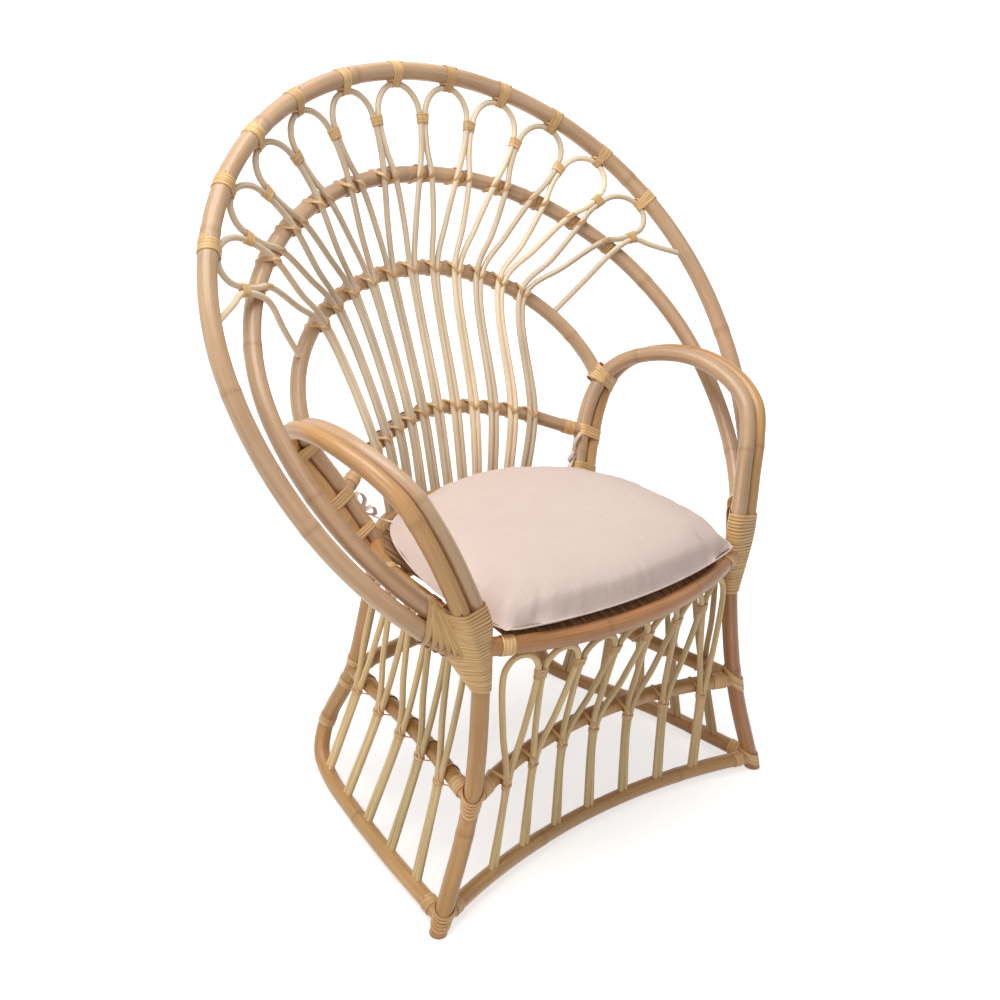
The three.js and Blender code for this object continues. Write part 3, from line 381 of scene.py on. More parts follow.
class ChairPoleSettings(bpy.types.PropertyGroup):
    """Poles and rods."""
    growth_spacing: FloatProperty(
        name="Growth ring spacing", description="Usual distance between the growth rings of a pole",
        default=0.27, unit="LENGTH")
    growth_swell: FloatProperty(
        name="Growth ring swell", description="How much thicker a pole is at a growth ring, as a share",
        default=0.035, subtype="FACTOR")
    wander: FloatProperty(
        name="Thickness wander", description="How much a pole's thickness varies along it, as a share",
        default=0.018, subtype="FACTOR")
    pole_sides: IntProperty(name="Pole sides", description="Faces round a pole", default=24)
    rod_sides: IntProperty(name="Rod sides", description="Faces round a rod", default=14)
    hoop_colour: colour_property(
        "Hoop colour", "Warm tan of the hoops and the inner arm poles", srgb(205, 170, 133))
    hoop_dark: colour_property("Hoop streaks", "Darker streaks of these poles", srgb(173, 131, 91))
    honey_colour: colour_property(
        "Honey colour", "Honey brown of the outer arm poles and the base", srgb(206, 159, 100))
    honey_dark: colour_property("Honey streaks", "Darker streaks of these poles", srgb(170, 119, 66))
    # This colour also dresses the right front leg, where its darkness is partly painted shade.
    chestnut_colour: colour_property("Chestnut colour", "Reddish brown of the seat rail", srgb(186, 130, 78))
    chestnut_dark: colour_property("Chestnut streaks", "Darker streaks of the seat rail", srgb(142, 90, 48))
    straw_colour: colour_property("Straw colour", "Pale straw of the fan rods", srgb(247, 227, 198))
    straw_dark: colour_property("Straw fibres", "Darker fibres of the fan rods", srgb(215, 185, 146))
    reed_colour: colour_property("Reed colour", "Yellow straw of the skirt rods", srgb(240, 212, 160))
    reed_dark: colour_property("Reed fibres", "Darker fibres of the skirt rods", srgb(202, 168, 116))
    deck_colour: colour_property("Deck colour", "Brown of the seat rods", srgb(156, 116, 80))
    deck_dark: colour_property("Deck fibres", "Darker fibres of the seat rods", srgb(100, 74, 50))
    cut_colour: colour_property("Cut end colour", "Pale core of a cut end", srgb(224, 196, 150))


class ChairCaneSettings(bpy.types.PropertyGroup):
    """Split cane of the bindings."""
    width: FloatProperty(
        name="Strip width", description="Width of a binding strip", default=0.0054, unit="LENGTH")
    thickness: FloatProperty(
        name="Strip thickness", description="Thickness of a binding strip", default=0.0012, unit="LENGTH")
    colour: colour_property("Cane colour", "Cream yellow of the cane", srgb(240, 205, 150))
    # Besides the streaks, this colour is multiplied in as painted shade at the strips' edges.
    dark: colour_property("Cane streaks", "Amber streaks of the cane", srgb(204, 153, 90))
    nail_colour: colour_property("Nail colour", "Dark heads of the small nails", srgb(64, 52, 44))


class ChairCushionSettings(bpy.types.PropertyGroup):
    """Loose seat cushion."""
    pressure: FloatProperty(name="Filling pressure", description="How hard the filling pushes", default=4.0)
    swell_limit: FloatProperty(
        name="Swell limit", description="Furthest that the filling moves the cloth", default=0.024,
        unit="LENGTH")
    voxel: FloatProperty(
        name="Cloth grid", description="Grid of the cloth while it is filled", default=0.005, unit="LENGTH")
    pucker: FloatProperty(
        name="Pucker depth", description="Depth of the gathers along the seam", default=0.0016,
        unit="LENGTH")
    colour: colour_property("Cotton colour", "Blush of the cotton", srgb(232, 211, 200))
    dark: colour_property("Cotton shade", "Shade between the threads", srgb(222, 198, 186))


class ChairStageSettings(bpy.types.PropertyGroup):
    """Camera, floor and light."""
    lens: FloatProperty(name="Lens", description="Focal length in millimetres", default=55.689)
    camera_place: FloatVectorProperty(
        name="Camera place", description="Where the camera stands", size=3,
        default=(-1.6378, -1.45123, 1.4862), subtype="TRANSLATION", unit="LENGTH")
    azimuth: FloatProperty(
        name="Azimuth", description="Direction to the camera", default=math.radians(-48.69), unit="ROTATION")
    elevation: FloatProperty(
        name="Elevation", description="Height of the camera's view", default=math.radians(25.841),
        unit="ROTATION")
    roll: FloatProperty(
        name="Roll", description="Turn of the camera about its view", default=math.radians(10.364),
        unit="ROTATION")
    floor_colour: colour_property("Floor colour", "White of the floor", (0.8, 0.8, 0.8))


def vec(x, y, z):
    return Vector((x, y, z))


def mirrored(points):
    return [vec(-p.x, p.y, p.z) for p in points]


def both_ends(half):
    """A line mirrored about the middle of the chair, from left to right."""
    return mirrored(half[1:])[::-1] + list(half)


def smooth(points, steps):
    """Points along a smooth curve through the given points, a number of steps to each span."""
    curve = []
    for i in range(len(points) - 1):
        here, ahead = points[i], points[i + 1]
        before = points[i - 1] if i > 0 else 2 * here - ahead
        after = points[i + 2] if i + 2 < len(points) else 2 * ahead - here
        span = max((ahead - here).length ** 0.5, 1e-4)
        span_before = max((here - before).length ** 0.5, 1e-4)
        span_after = max((after - ahead).length ** 0.5, 1e-4)
        leave = ((here - before) / span_before - (ahead - before) / (span_before + span)
                 + (ahead - here) / span) * span
        arrive = ((ahead - here) / span - (after - here) / (span + span_after)
                  + (after - ahead) / span_after) * span
        for k in range(steps):
            t = k / steps
            square = -3 * here + 3 * ahead - 2 * leave - arrive
            cube = 2 * here - 2 * ahead + leave + arrive
            curve.append(here + leave * t + square * t * t + cube * t * t * t)
    curve.append(points[-1].copy())
    return curve


def running_length(points):
    """The distance to each point along the straight spans between them."""
    reach = [0.0]
    for a, b in zip(points, points[1:]):
        reach.append(reach[-1] + (b - a).length)
    return reach


class Line:
    """A fine smooth path through stations, measured in millimetres along it."""

    def __init__(self, stations, spacing):
        rough = smooth(stations, LINE_STEPS)
        reach = running_length(rough)
        self.length = reach[-1]
        count = max(2, round(self.length / spacing))
        self.step = self.length / count
        places = np.linspace(0.0, self.length, count + 1)
        table = np.array([tuple(p) for p in rough])
        self.points = np.stack([np.interp(places, reach, table[:, k]) for k in range(3)], axis=1)

    def at(self, distance):
        share = min(max(distance / self.step, 0.0), len(self.points) - 1.0)
        i = min(int(share), len(self.points) - 2)
        return Vector(self.points[i]).lerp(Vector(self.points[i + 1]), share - i)

    def heading(self, distance, reach=6.0):
        ahead = self.at(min(distance + reach, self.length))
        behind = self.at(max(distance - reach, 0.0))
        return (ahead - behind).normalized()

    def near(self, p):
        """The distance along the path at which it passes nearest to a point."""
        i = int(np.argmin(((self.points - np.array(p)) ** 2).sum(axis=1)))
        heading = self.heading(i * self.step)
        return i * self.step + (p - Vector(self.points[i])).dot(heading)

    def nearest(self, p):
        return self.at(self.near(p))

    def crossing(self, centre, axis):
        """Where the path passes through the plane of a turn, or its nearest place if it doesn't."""
        depth = (self.points - np.array(centre)) @ np.array(axis)
        found = self.nearest(centre)
        least = TURN_REACH
        for i in np.nonzero(depth[:-1] * depth[1:] < 0)[0]:
            share = depth[i] / (depth[i] - depth[i + 1])
            p = Vector(self.points[i]).lerp(Vector(self.points[i + 1]), share)
            if (p - centre).length < least:
                found, least = p, (p - centre).length
        return found


class Pole:
    """A bent pole: its stations, as the solid has them, and a fine line through them."""

    def __init__(self, stations, diameter, spacing=POLE_SPACING):
        self.stations = list(stations)
        self.radius = diameter / 2
        self.spacing = spacing
        self.reach = running_length(self.stations)
        self.length = self.reach[-1]

    @cached_property
    def line(self):
        return Line(self.stations, self.spacing)

    def at(self, distance):
        i = 1
        while i < len(self.stations) - 1 and self.reach[i] < distance:
            i += 1
        share = (distance - self.reach[i - 1]) / (self.reach[i] - self.reach[i - 1])
        return self.stations[i - 1] + (self.stations[i] - self.stations[i - 1]) * share

    def from_middle(self, distance):
        return self.at(self.length / 2 + distance)

    def heading_at(self, distance):
        ahead = self.at(min(distance + self.radius, self.length))
        behind = self.at(max(distance - self.radius, 0.0))
        return (ahead - behind).normalized()

    def distance_to(self, p):
        least = math.inf
        for a, b in zip(self.stations, self.stations[1:]):
            along = b - a
            share = min(max((p - a).dot(along) / along.length_squared, 0.0), 1.0)
            least = min(least, (a + along * share - p).length)
        return least

    def at_height(self, height):
        i = next((k for k, p in enumerate(self.stations) if p.z >= height), len(self.stations) - 1)
        i = max(i, 1)
        a, b = self.stations[i - 1], self.stations[i]
        return a + (b - a) * ((height - a.z) / (b.z - a.z))

    def flipped(self):
        return Pole(mirrored(self.stations), 2 * self.radius, self.spacing)


def butt_end(axis_point, towards, pole):
    return axis_point + (towards - axis_point).normalized() * (pole.radius * BUTT_SHARE)


class LoopField:
    """A field of hairpin rods between two poles: level 0 is on the lower pole, 1 on the upper one."""

    def __init__(self, lower, lower_at, upper, upper_at):
        self.lower, self.lower_at = lower, lower_at
        self.upper, self.upper_at = upper, upper_at
        self.rod_radius = ROD_DIAMETER / 2
        self.spacing = ROD_DIAMETER + CLEARANCE
        self.arch_levels = {}

    def flat(self, loop, level):
        return self.lower_at(loop).lerp(self.upper_at(loop), level)

    def across(self, loop, level):
        return (self.flat(loop + 0.1, level) - self.flat(loop - 0.1, level)).normalized()

    def front(self, loop):
        return self.across(loop, 0).cross(self.upper_at(loop) - self.lower_at(loop)).normalized()

    def depth(self, loop):
        return (self.upper_at(loop) - self.lower_at(loop)).length

    def arch_level(self, loop):
        """The level at which a rod just clears the upper pole."""
        if loop not in self.arch_levels:
            clear = self.upper.radius + self.rod_radius + CLEARANCE
            low, high = 0.0, 1.0
            for _ in range(ARCH_TRIES):
                level = (low + high) / 2
                if self.upper.distance_to(self.flat(loop, level)) > clear:
                    low = level
                else:
                    high = level
            self.arch_levels[loop] = low
        return self.arch_levels[loop]

    def at(self, loop, level):
        lift = self.lower.radius + self.rod_radius + CROSSING_GAP
        ease = max(0.0, 1 - level / self.arch_level(loop))
        return self.flat(loop, level) + self.front(loop) * (lift * ease)

    def half(self, loop, side, opening, arch_height):
        edge = loop + side / 2
        shoulder_level = self.arch_level(edge) - arch_height / self.depth(edge)
        inward = self.across(edge, shoulder_level) * (-side * self.spacing / 2)
        shoulder = self.at(edge, shoulder_level) + inward
        width = (self.flat(edge, shoulder_level) - self.flat(loop, shoulder_level)).length
        reach = (side / 2) * (1 - self.spacing / 2 / width)
        foot = self.at(loop, 0) + self.across(loop, 0) * (side * opening / 2)
        middle = (foot + shoulder) / 2 + self.across(loop, shoulder_level / 2) * (side * LEG_BELLY)
        top = self.arch_level(loop)
        arch = []
        for degrees in ARCH_DEGREES:
            angle = math.radians(degrees)
            level = shoulder_level + (top - shoulder_level) * math.sin(angle)
            arch.append(self.at(loop + reach * math.cos(angle), level))
        return [foot, middle, shoulder] + arch

    def hairpin(self, loop, opening, arch_height, tail):
        """Stations of a hairpin rod from the foot of its left leg to the foot of its right one."""
        if loop < 0:
            return mirrored(self.hairpin(-loop, opening, arch_height, tail))[::-1]
        left = tail(loop, -1) + self.half(loop, -1, opening, arch_height)
        right = tail(loop, 1) + self.half(loop, 1, opening, arch_height)
        return left + [self.at(loop, self.arch_level(loop))] + right[::-1]

    def rods(self, loops, opening, arch_height, tail):
        """A hairpin rod for each loop, by the loop's number."""
        return {
            loop: Pole(self.hairpin(loop, opening, arch_height, tail), ROD_DIAMETER, ROD_SPACING)
            for loop in loops}


def about_middle(count):
    """The numbers of an odd count of loops, with 0 in the middle."""
    last = (count - 1) // 2
    return range(-last, last + 1)


class ChairLines:
    """The lines of every pole and rod of the chair, right-hand ones first."""

    def __init__(self):
        self.draw_seat()
        self.draw_hoops()
        self.draw_arms()
        self.draw_inner_back()
        self.draw_base()
        self.draw_fan()
        self.draw_skirts()

    def draw_seat(self):
        leg = smooth([
            vec(FOOT_HALF_SPAN, -FOOT_FORWARD, 0),
            vec(LEG_MID_HALF_SPAN, -LEG_MID_FORWARD, MID_RAIL_HEIGHT),
            vec(CORNER_HALF_SPAN - LEG_NECK_IN, -CORNER_FORWARD - LEG_NECK_FORWARD,
                SEAT_HEIGHT - LEG_NECK_DROP),
            vec(CORNER_HALF_SPAN, -CORNER_FORWARD, SEAT_HEIGHT + LEG_TOP_RISE),
        ], LEG_STEPS)
        leg[0] = leg[0] + (leg[0] - leg[1]).normalized() * FOOT_EXTRA
        self.leg = Pole(leg, LEG_DIAMETER)
        self.corner = self.leg.at_height(SEAT_HEIGHT)
        self.seat_front_rail = self.bowed_rail(self.corner, -SEAT_FRONT_BOW, SEAT_RAIL_DIAMETER, self.leg)
        depth = SEAT_BACK + SEAT_WIDEST_FORWARD
        power = 2 / SEAT_BACK_SQUARENESS
        half = []
        for i in range(SEAT_BACK_STATIONS + 1):
            angle = math.pi / 2 * i / SEAT_BACK_STATIONS
            x = SEAT_HALF_WIDTH * math.sin(angle) ** power
            y = depth * max(math.cos(angle), 0.0) ** power - SEAT_WIDEST_FORWARD
            half.append(vec(x, y, SEAT_HEIGHT))
        half.append(vec((SEAT_HALF_WIDTH + self.corner.x) / 2 - SEAT_SIDE_IN,
                        (self.corner.y - SEAT_WIDEST_FORWARD) / 2, SEAT_HEIGHT))
        half.append(butt_end(self.corner, half[-1], self.leg))
        self.ring_half = half
        self.seat_ring = Pole(both_ends(half), SIDE_POLE_DIAMETER)

    def bowed_rail(self, end, bow, diameter, leg):
        half = []
        for i in range(BOW_STATIONS + 1):
            share = i / BOW_STATIONS
            half.append(vec(end.x * share, end.y + bow * (1 - share * share), end.z))
        half[-1] = butt_end(end, half[-2], leg)
        return Pole(both_ends(half), diameter)

    def ring_at(self, y):
        i = next(k for k, p in enumerate(self.ring_half) if p.y <= y)
        a, b = self.ring_half[i - 1], self.ring_half[i]
        return a + (b - a) * ((y - a.y) / (b.y - a.y))

    def corner_hoop(self, root_height, crown, half_width, crown_rise, diameter):
        root = self.leg.at_height(root_height)
        slope = vec(0, crown[0] - root.y, crown[1] - root.z)
        to_crown = slope.length
        slope.normalize()
        widest = to_crown - crown_rise
        lower_rise = widest / math.sqrt(1 - (root.x / half_width) ** 2)
        last_angle = math.pi - math.asin(root.x / half_width)
        half = []
        for i in range(HOOP_STATIONS + 1):
            angle = last_angle * i / HOOP_STATIONS
            rise = crown_rise if angle < math.pi / 2 else lower_rise
            along = widest + rise * math.cos(angle)
            half.append(vec(half_width * math.sin(angle), root.y, root.z) + slope * along)
        half[-1] = butt_end(root, half[-2], self.leg)
        return Pole(both_ends(half), diameter)

    def draw_hoops(self):
        self.outer_hoop = self.corner_hoop(
            SEAT_HEIGHT - OUTER_ROOT_DROP, OUTER_CROWN, OUTER_HALF_WIDTH, OUTER_CROWN_RISE,
            OUTER_HOOP_DIAMETER)
        self.middle_hoop = self.corner_hoop(
            SEAT_HEIGHT + MIDDLE_ROOT_LIFT, MIDDLE_CROWN, MIDDLE_HALF_WIDTH, MIDDLE_CROWN_RISE,
            MIDDLE_HOOP_DIAMETER)

    def draw_arms(self):
        foot = self.leg.stations[-1] + self.leg.heading_at(self.leg.length) * CLEARANCE
        touch = self.seat_ring.at(self.seat_ring.length - ARM_END_FROM_CORNER)
        middle = [vec(x, y, SEAT_HEIGHT + rise) for x, y, rise in ARM_POINTS]
        self.arm_inner = Pole(smooth([foot] + middle + [touch], ARM_STEPS), ARM_DIAMETER)
        spacing = ARM_DIAMETER + CLEARANCE
        places = zip(self.arm_inner.stations, self.arm_inner.reach)
        outer = [p + self.arm_side(distance) * spacing for p, distance in places]
        self.arm_outer = Pole(outer, ARM_DIAMETER)
        self.post = Pole(self.arm_inner.stations[::-1][:POST_STATIONS], ARM_DIAMETER)

    def arm_side(self, distance):
        heading = self.arm_inner.heading_at(distance)
        return (vec(1, 0, 0) - heading * heading.x).normalized()

    def draw_inner_back(self):
        end = self.post.at_height(SEAT_HEIGHT + BACK_RAIL_END_RISE)
        quarter = vec(end.x / 2, 0, SEAT_HEIGHT + BACK_RAIL_QUARTER_RISE)
        quarter.y = BACK_RAIL_CROWN_BACK + (end.y - BACK_RAIL_CROWN_BACK) * BACK_RAIL_QUARTER_SHARE
        crown = vec(0, BACK_RAIL_CROWN_BACK, SEAT_HEIGHT + BACK_RAIL_RISE)
        half = [crown, quarter, butt_end(end, quarter, self.arm_inner)]
        self.back_rail = Pole(smooth(both_ends(half), BACK_RAIL_STEPS), BACK_RAIL_DIAMETER)
        touch = self.post.at_height(SEAT_HEIGHT + INNER_END_RISE)
        crown = vec(0, *INNER_CROWN)
        fall = vec(0, touch.y - crown.y, touch.z - crown.z)
        half = []
        for i in range(INNER_HOOP_STATIONS):
            angle = math.pi / 2 * i / INNER_HOOP_STATIONS
            half.append(crown + fall * (1 - math.cos(angle)) + vec(touch.x * math.sin(angle), 0, 0))
        half.append(butt_end(touch, half[-1], self.arm_inner))
        self.inner_hoop = Pole(both_ends(half), INNER_HOOP_DIAMETER)

    def draw_base(self):
        start = self.leg.at_height(BOTTOM_RAIL_HEIGHT)
        floor_axis = SIDE_POLE_DIAMETER / 2 - CLEARANCE
        over_leg = self.ring_at(REAR_LEG_WAIST_BACK)
        leg_rise = SEAT_HEIGHT - MID_RAIL_HEIGHT
        side = smooth([
            start,
            vec(SIDE_POLE_HALF_SPAN, (start.y + REAR_CORNER_BACK) / 2, (BOTTOM_RAIL_HEIGHT + floor_axis) / 2),
            vec(REAR_CORNER_HALF_SPAN, REAR_CORNER_BACK, floor_axis),
            vec(REAR_LEG_HALF_SPAN + REAR_BEND_OUT, REAR_LEG_KICK, floor_axis + REAR_BEND_RISE),
            vec(REAR_LEG_HALF_SPAN, REAR_LEG_WAIST_BACK + REAR_WAIST_SWAY, MID_RAIL_HEIGHT),
            vec(REAR_LEG_HALF_SPAN, REAR_LEG_WAIST_BACK, MID_RAIL_HEIGHT + leg_rise / 2),
            vec(over_leg.x, over_leg.y, SEAT_HEIGHT - self.seat_ring.radius * BUTT_SHARE),
        ], SIDE_POLE_STEPS)
        side[0] = butt_end(start, side[1], self.leg)
        self.side_pole = Pole(side, SIDE_POLE_DIAMETER)
        rear_leg = Pole(side[-REAR_LEG_STATIONS:], SIDE_POLE_DIAMETER)
        self.front_bottom_rail = self.bowed_rail(start, FRONT_BOTTOM_BOW, RAIL_DIAMETER, self.leg)
        leg_mid = self.leg.at_height(MID_RAIL_HEIGHT)
        self.front_mid_rail = self.bowed_rail(leg_mid, FRONT_MID_BOW, RAIL_DIAMETER, self.leg)
        rear_mid = rear_leg.at_height(MID_RAIL_HEIGHT)
        self.rear_mid_rail = self.bowed_rail(rear_mid, REAR_RAIL_BOW, RAIL_DIAMETER, self.side_pole)
        waist = vec(SIDE_MID_HALF_SPAN, (leg_mid.y + rear_mid.y) / 2, MID_RAIL_HEIGHT)
        ends = butt_end(leg_mid, waist, self.leg), butt_end(rear_mid, waist, self.side_pole)
        self.side_mid_rail = Pole(smooth([ends[0], waist, ends[1]], SIDE_RAIL_STEPS), RAIL_DIAMETER)

    def draw_fan(self):
        middle, outer = self.middle_hoop, self.outer_hoop
        fan = LoopField(
            middle, lambda loop: middle.from_middle(loop * FAN_MIDDLE_PITCH),
            outer, lambda loop: outer.from_middle(loop * FAN_OUTER_PITCH))

        def pair_over(pole, place, up, side):
            across = pole.heading_at(pole.length / 2 + place)
            front = across.cross(up).normalized()
            lift = pole.radius + fan.rod_radius + CROSSING_GAP
            return pole.from_middle(place) + front * lift + across * (side * fan.spacing / 2)

        def tail(loop, side):
            on_inner = self.inner_hoop.from_middle(loop * FAN_INNER_PITCH)
            on_rail = self.back_rail.from_middle(loop * FAN_RAIL_PITCH)
            ring = self.seat_ring
            seat_heading = ring.heading_at(ring.length / 2 + loop * FAN_SEAT_PITCH)
            seat = ring.from_middle(loop * FAN_SEAT_PITCH) + seat_heading * (side * fan.spacing / 2)
            rail = pair_over(self.back_rail, loop * FAN_RAIL_PITCH, on_inner - on_rail, side)
            inner = pair_over(self.inner_hoop, loop * FAN_INNER_PITCH, fan.flat(loop, 0) - on_inner, side)
            over = fan.at(loop, 0) + fan.across(loop, 0) * (side * FAN_MIDDLE_OPENING / 2)
            parting = (inner + over) / 2 - fan.across(loop, 0) * (side * LEG_BELLY)
            return [seat, rail, inner, parting]

        self.fan_rods = fan.rods(about_middle(FAN_LOOPS), FAN_MIDDLE_OPENING, FAN_ARCH_HEIGHT, tail)
        edge = FAN_LOOPS / 2
        level = fan.arch_level(edge) - FAN_ARCH_HEIGHT / fan.depth(edge)
        shoulder = fan.at(edge, level) + fan.across(edge, level) * (fan.spacing / 2)
        hook = fan.at(edge + END_ROD_HOOK_PITCHES, level + END_ROD_HOOK_LEVEL)
        over = fan.at(edge + END_ROD_MIDDLE_PITCHES, 0)
        start = outer.from_middle(FAN_OUTER_PITCH * END_ROD_OUTER_PITCHES)
        end = self.inner_hoop.from_middle(FAN_INNER_PITCH * END_ROD_INNER_PITCHES)
        stations = [start, hook, shoulder, over, (over + end) / 2, end]
        self.end_rod = Pole(stations, ROD_DIAMETER, ROD_SPACING)

    def draw_skirts(self):
        mid, top, bottom = self.front_mid_rail, self.seat_front_rail, self.front_bottom_rail
        front = LoopField(
            mid, lambda loop: mid.from_middle(loop * FRONT_MID_PITCH),
            top, lambda loop: top.from_middle(loop * FRONT_TOP_PITCH))

        def front_tail(loop, side):
            place = bottom.length / 2 + loop * FRONT_BOTTOM_PITCH
            return [bottom.at(place) + bottom.heading_at(place) * (side * front.spacing / 2)]

        loops = about_middle(FRONT_LOOPS)
        self.front_rods = front.rods(loops, front.spacing, FRONT_ARCH_HEIGHT, front_tail)
        rail, ring, pole = self.side_mid_rail, self.seat_ring, self.side_pole
        side = LoopField(
            rail, lambda loop: rail.at(SIDE_MID_FIRST + loop * SIDE_MID_PITCH),
            ring, lambda loop: ring.at(ring.length - SIDE_TOP_FIRST - loop * SIDE_TOP_PITCH))

        def side_tail(loop, leg_side):
            place = SIDE_BOTTOM_FIRST + loop * SIDE_BOTTOM_PITCH
            return [pole.at(place) + pole.heading_at(place) * (leg_side * side.spacing / 2)]

        self.side_rods = side.rods(range(SIDE_LOOPS), side.spacing, SIDE_ARCH_HEIGHT, side_tail)


lines = ChairLines()
foot_mount = next(m for m in frame["record"]["mounts"] if m["name"] == "front_foot_right")
SHIFT = vec(0, foot_mount["pos_m"][1] / MM + FOOT_FORWARD, 0)


def placed(points):
    """Drawn points in millimetres as an array of places in metres."""
    return (np.array([tuple(p) for p in points]) + np.array(SHIFT)) * MM


def deselect():
    if bpy.context.object and bpy.context.object.mode != "OBJECT":
        bpy.ops.object.mode_set(mode="OBJECT")
    bpy.ops.object.select_all(action="DESELECT")


def choose(piece):
    deselect()
    piece.select_set(True)
    bpy.context.view_layer.objects.active = piece


def store(mesh, name, values):
    """Keeps one value for each vertex, for the materials to read."""
    attribute = mesh.attributes.new(name, "FLOAT", "POINT")
    attribute.data.foreach_set("value", np.asarray(values, dtype=np.float32))


def coordinates(mesh):
    """The places of a mesh's vertices, one row each."""
    places = np.empty(len(mesh.vertices) * 3)
    mesh.vertices.foreach_get("co", places)
    return places.reshape(-1, 3)


def edit_all():
    """Opens the active piece for editing, with all of it selected."""
    bpy.ops.object.mode_set(mode="EDIT")
    bpy.ops.mesh.select_all(action="SELECT")


def cut_at_floor(piece):
    """Saws off what reaches under the floor and closes the cut."""
    choose(piece)
    edit_all()
    bpy.ops.mesh.bisect(plane_co=(0, 0, 0), plane_no=(0, 0, 1), clear_inner=True, use_fill=True)
    bpy.ops.object.mode_set(mode="OBJECT")


def bend(name, line, diameter, sides, material, growth=True, closed=False, floor_cut=False):
    """Bends a pole or rod along a line, with growth rings, a wandering thickness and capped ends."""
    settings = bpy.context.scene.chair_poles
    chance = random.Random(name)
    count = len(line.points) - (1 if closed else 0)
    along = np.arange(count) * line.step
    wave = chance.uniform(0, FIBRE_STARTS)
    wander = np.array([noise.noise((d / WANDER_LENGTH, wave, 0.0)) for d in along]) * settings.wander
    ring_mark = np.zeros(count)
    swell = np.zeros(count)
    if growth:
        spacing = settings.growth_spacing / MM
        place = chance.uniform(*FIRST_RING) * spacing
        while place < line.length - RING_END_MARGIN:
            past = along - place
            ring_mark += np.exp(-(past / RING_MARK_LENGTH) ** 2)
            waist = WAIST_SHARE * np.exp(-((past - WAIST_PLACE) / WAIST_LENGTH) ** 2)
            swell += np.exp(-(past / SWELL_LENGTH) ** 2) - waist
            place += chance.uniform(*NEXT_RING) * spacing
    radii = 1 + wander + swell * settings.growth_swell
    deselect()
    bpy.ops.curve.primitive_nurbs_path_add()
    piece = bpy.context.object
    curve = piece.data
    curve.splines.clear()
    spline = curve.splines.new("POLY")
    spline.points.add(count - 1)
    places = placed(line.points[:count])
    spline.points.foreach_set("co", np.hstack([places, np.ones((count, 1))]).ravel())
    spline.points.foreach_set("radius", radii)
    spline.use_cyclic_u = closed
    curve.dimensions = "3D"
    curve.bevel_depth = diameter / 2 * MM
    curve.bevel_resolution = sides // 2 - 2
    curve.use_fill_caps = not closed
    bpy.ops.object.convert(target="MESH")
    piece = bpy.context.object
    piece.name = name
    piece.location = (0, 0, 0)
    mesh = piece.data
    mesh.name = name
    caps = 0 if closed else 2 * sides
    ring_of = (np.arange(len(mesh.vertices)) - caps) // sides
    on_side = ring_of >= 0
    store(mesh, "growth", np.where(on_side, ring_mark[np.clip(ring_of, 0, count - 1)], 0.0))
    store(mesh, "cut", np.where(on_side, 0.0, 1.0))
    store(mesh, "tone", np.full(len(mesh.vertices), chance.uniform(-1, 1)))
    uv = mesh.uv_layers[0].data
    spread = np.empty(len(uv) * 2, dtype=np.float32)
    uv.foreach_get("uv", spread)
    spread[0::2] *= line.length * MM
    spread[0::2] += wave
    uv.foreach_set("uv", spread)
    mesh.materials.append(material)
    bpy.ops.object.shade_smooth()
    if floor_cut:
        cut_at_floor(piece)
    return piece


def finish_piece(piece, nodes=(), body=FRAME_BODY):
    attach(piece, body)
    if nodes:
        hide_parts(*nodes)


def pole_piece(node, pole, material, floor_cut=False):
    """Bends a pole in place of its solid."""
    sides = bpy.context.scene.chair_poles.pole_sides
    piece = bend(f"{node}_pole", pole.line, 2 * pole.radius, sides, material, floor_cut=floor_cut)
    finish_piece(piece, [node])


def rod_piece(node, rod, material):
    """Bends a rod in place of its solid."""
    sides = bpy.context.scene.chair_poles.rod_sides
    piece = bend(f"{node}_rod", rod.line, ROD_DIAMETER, sides, material, growth=False)
    finish_piece(piece, [node])


def join(pieces, name):
    """Joins like pieces into one object."""
    deselect()
    for piece in pieces:
        piece.select_set(True)
    bpy.context.view_layer.objects.active = pieces[0]
    bpy.ops.object.join()
    joined = bpy.context.object
    joined.name = name
    joined.data.name = name
    return joined


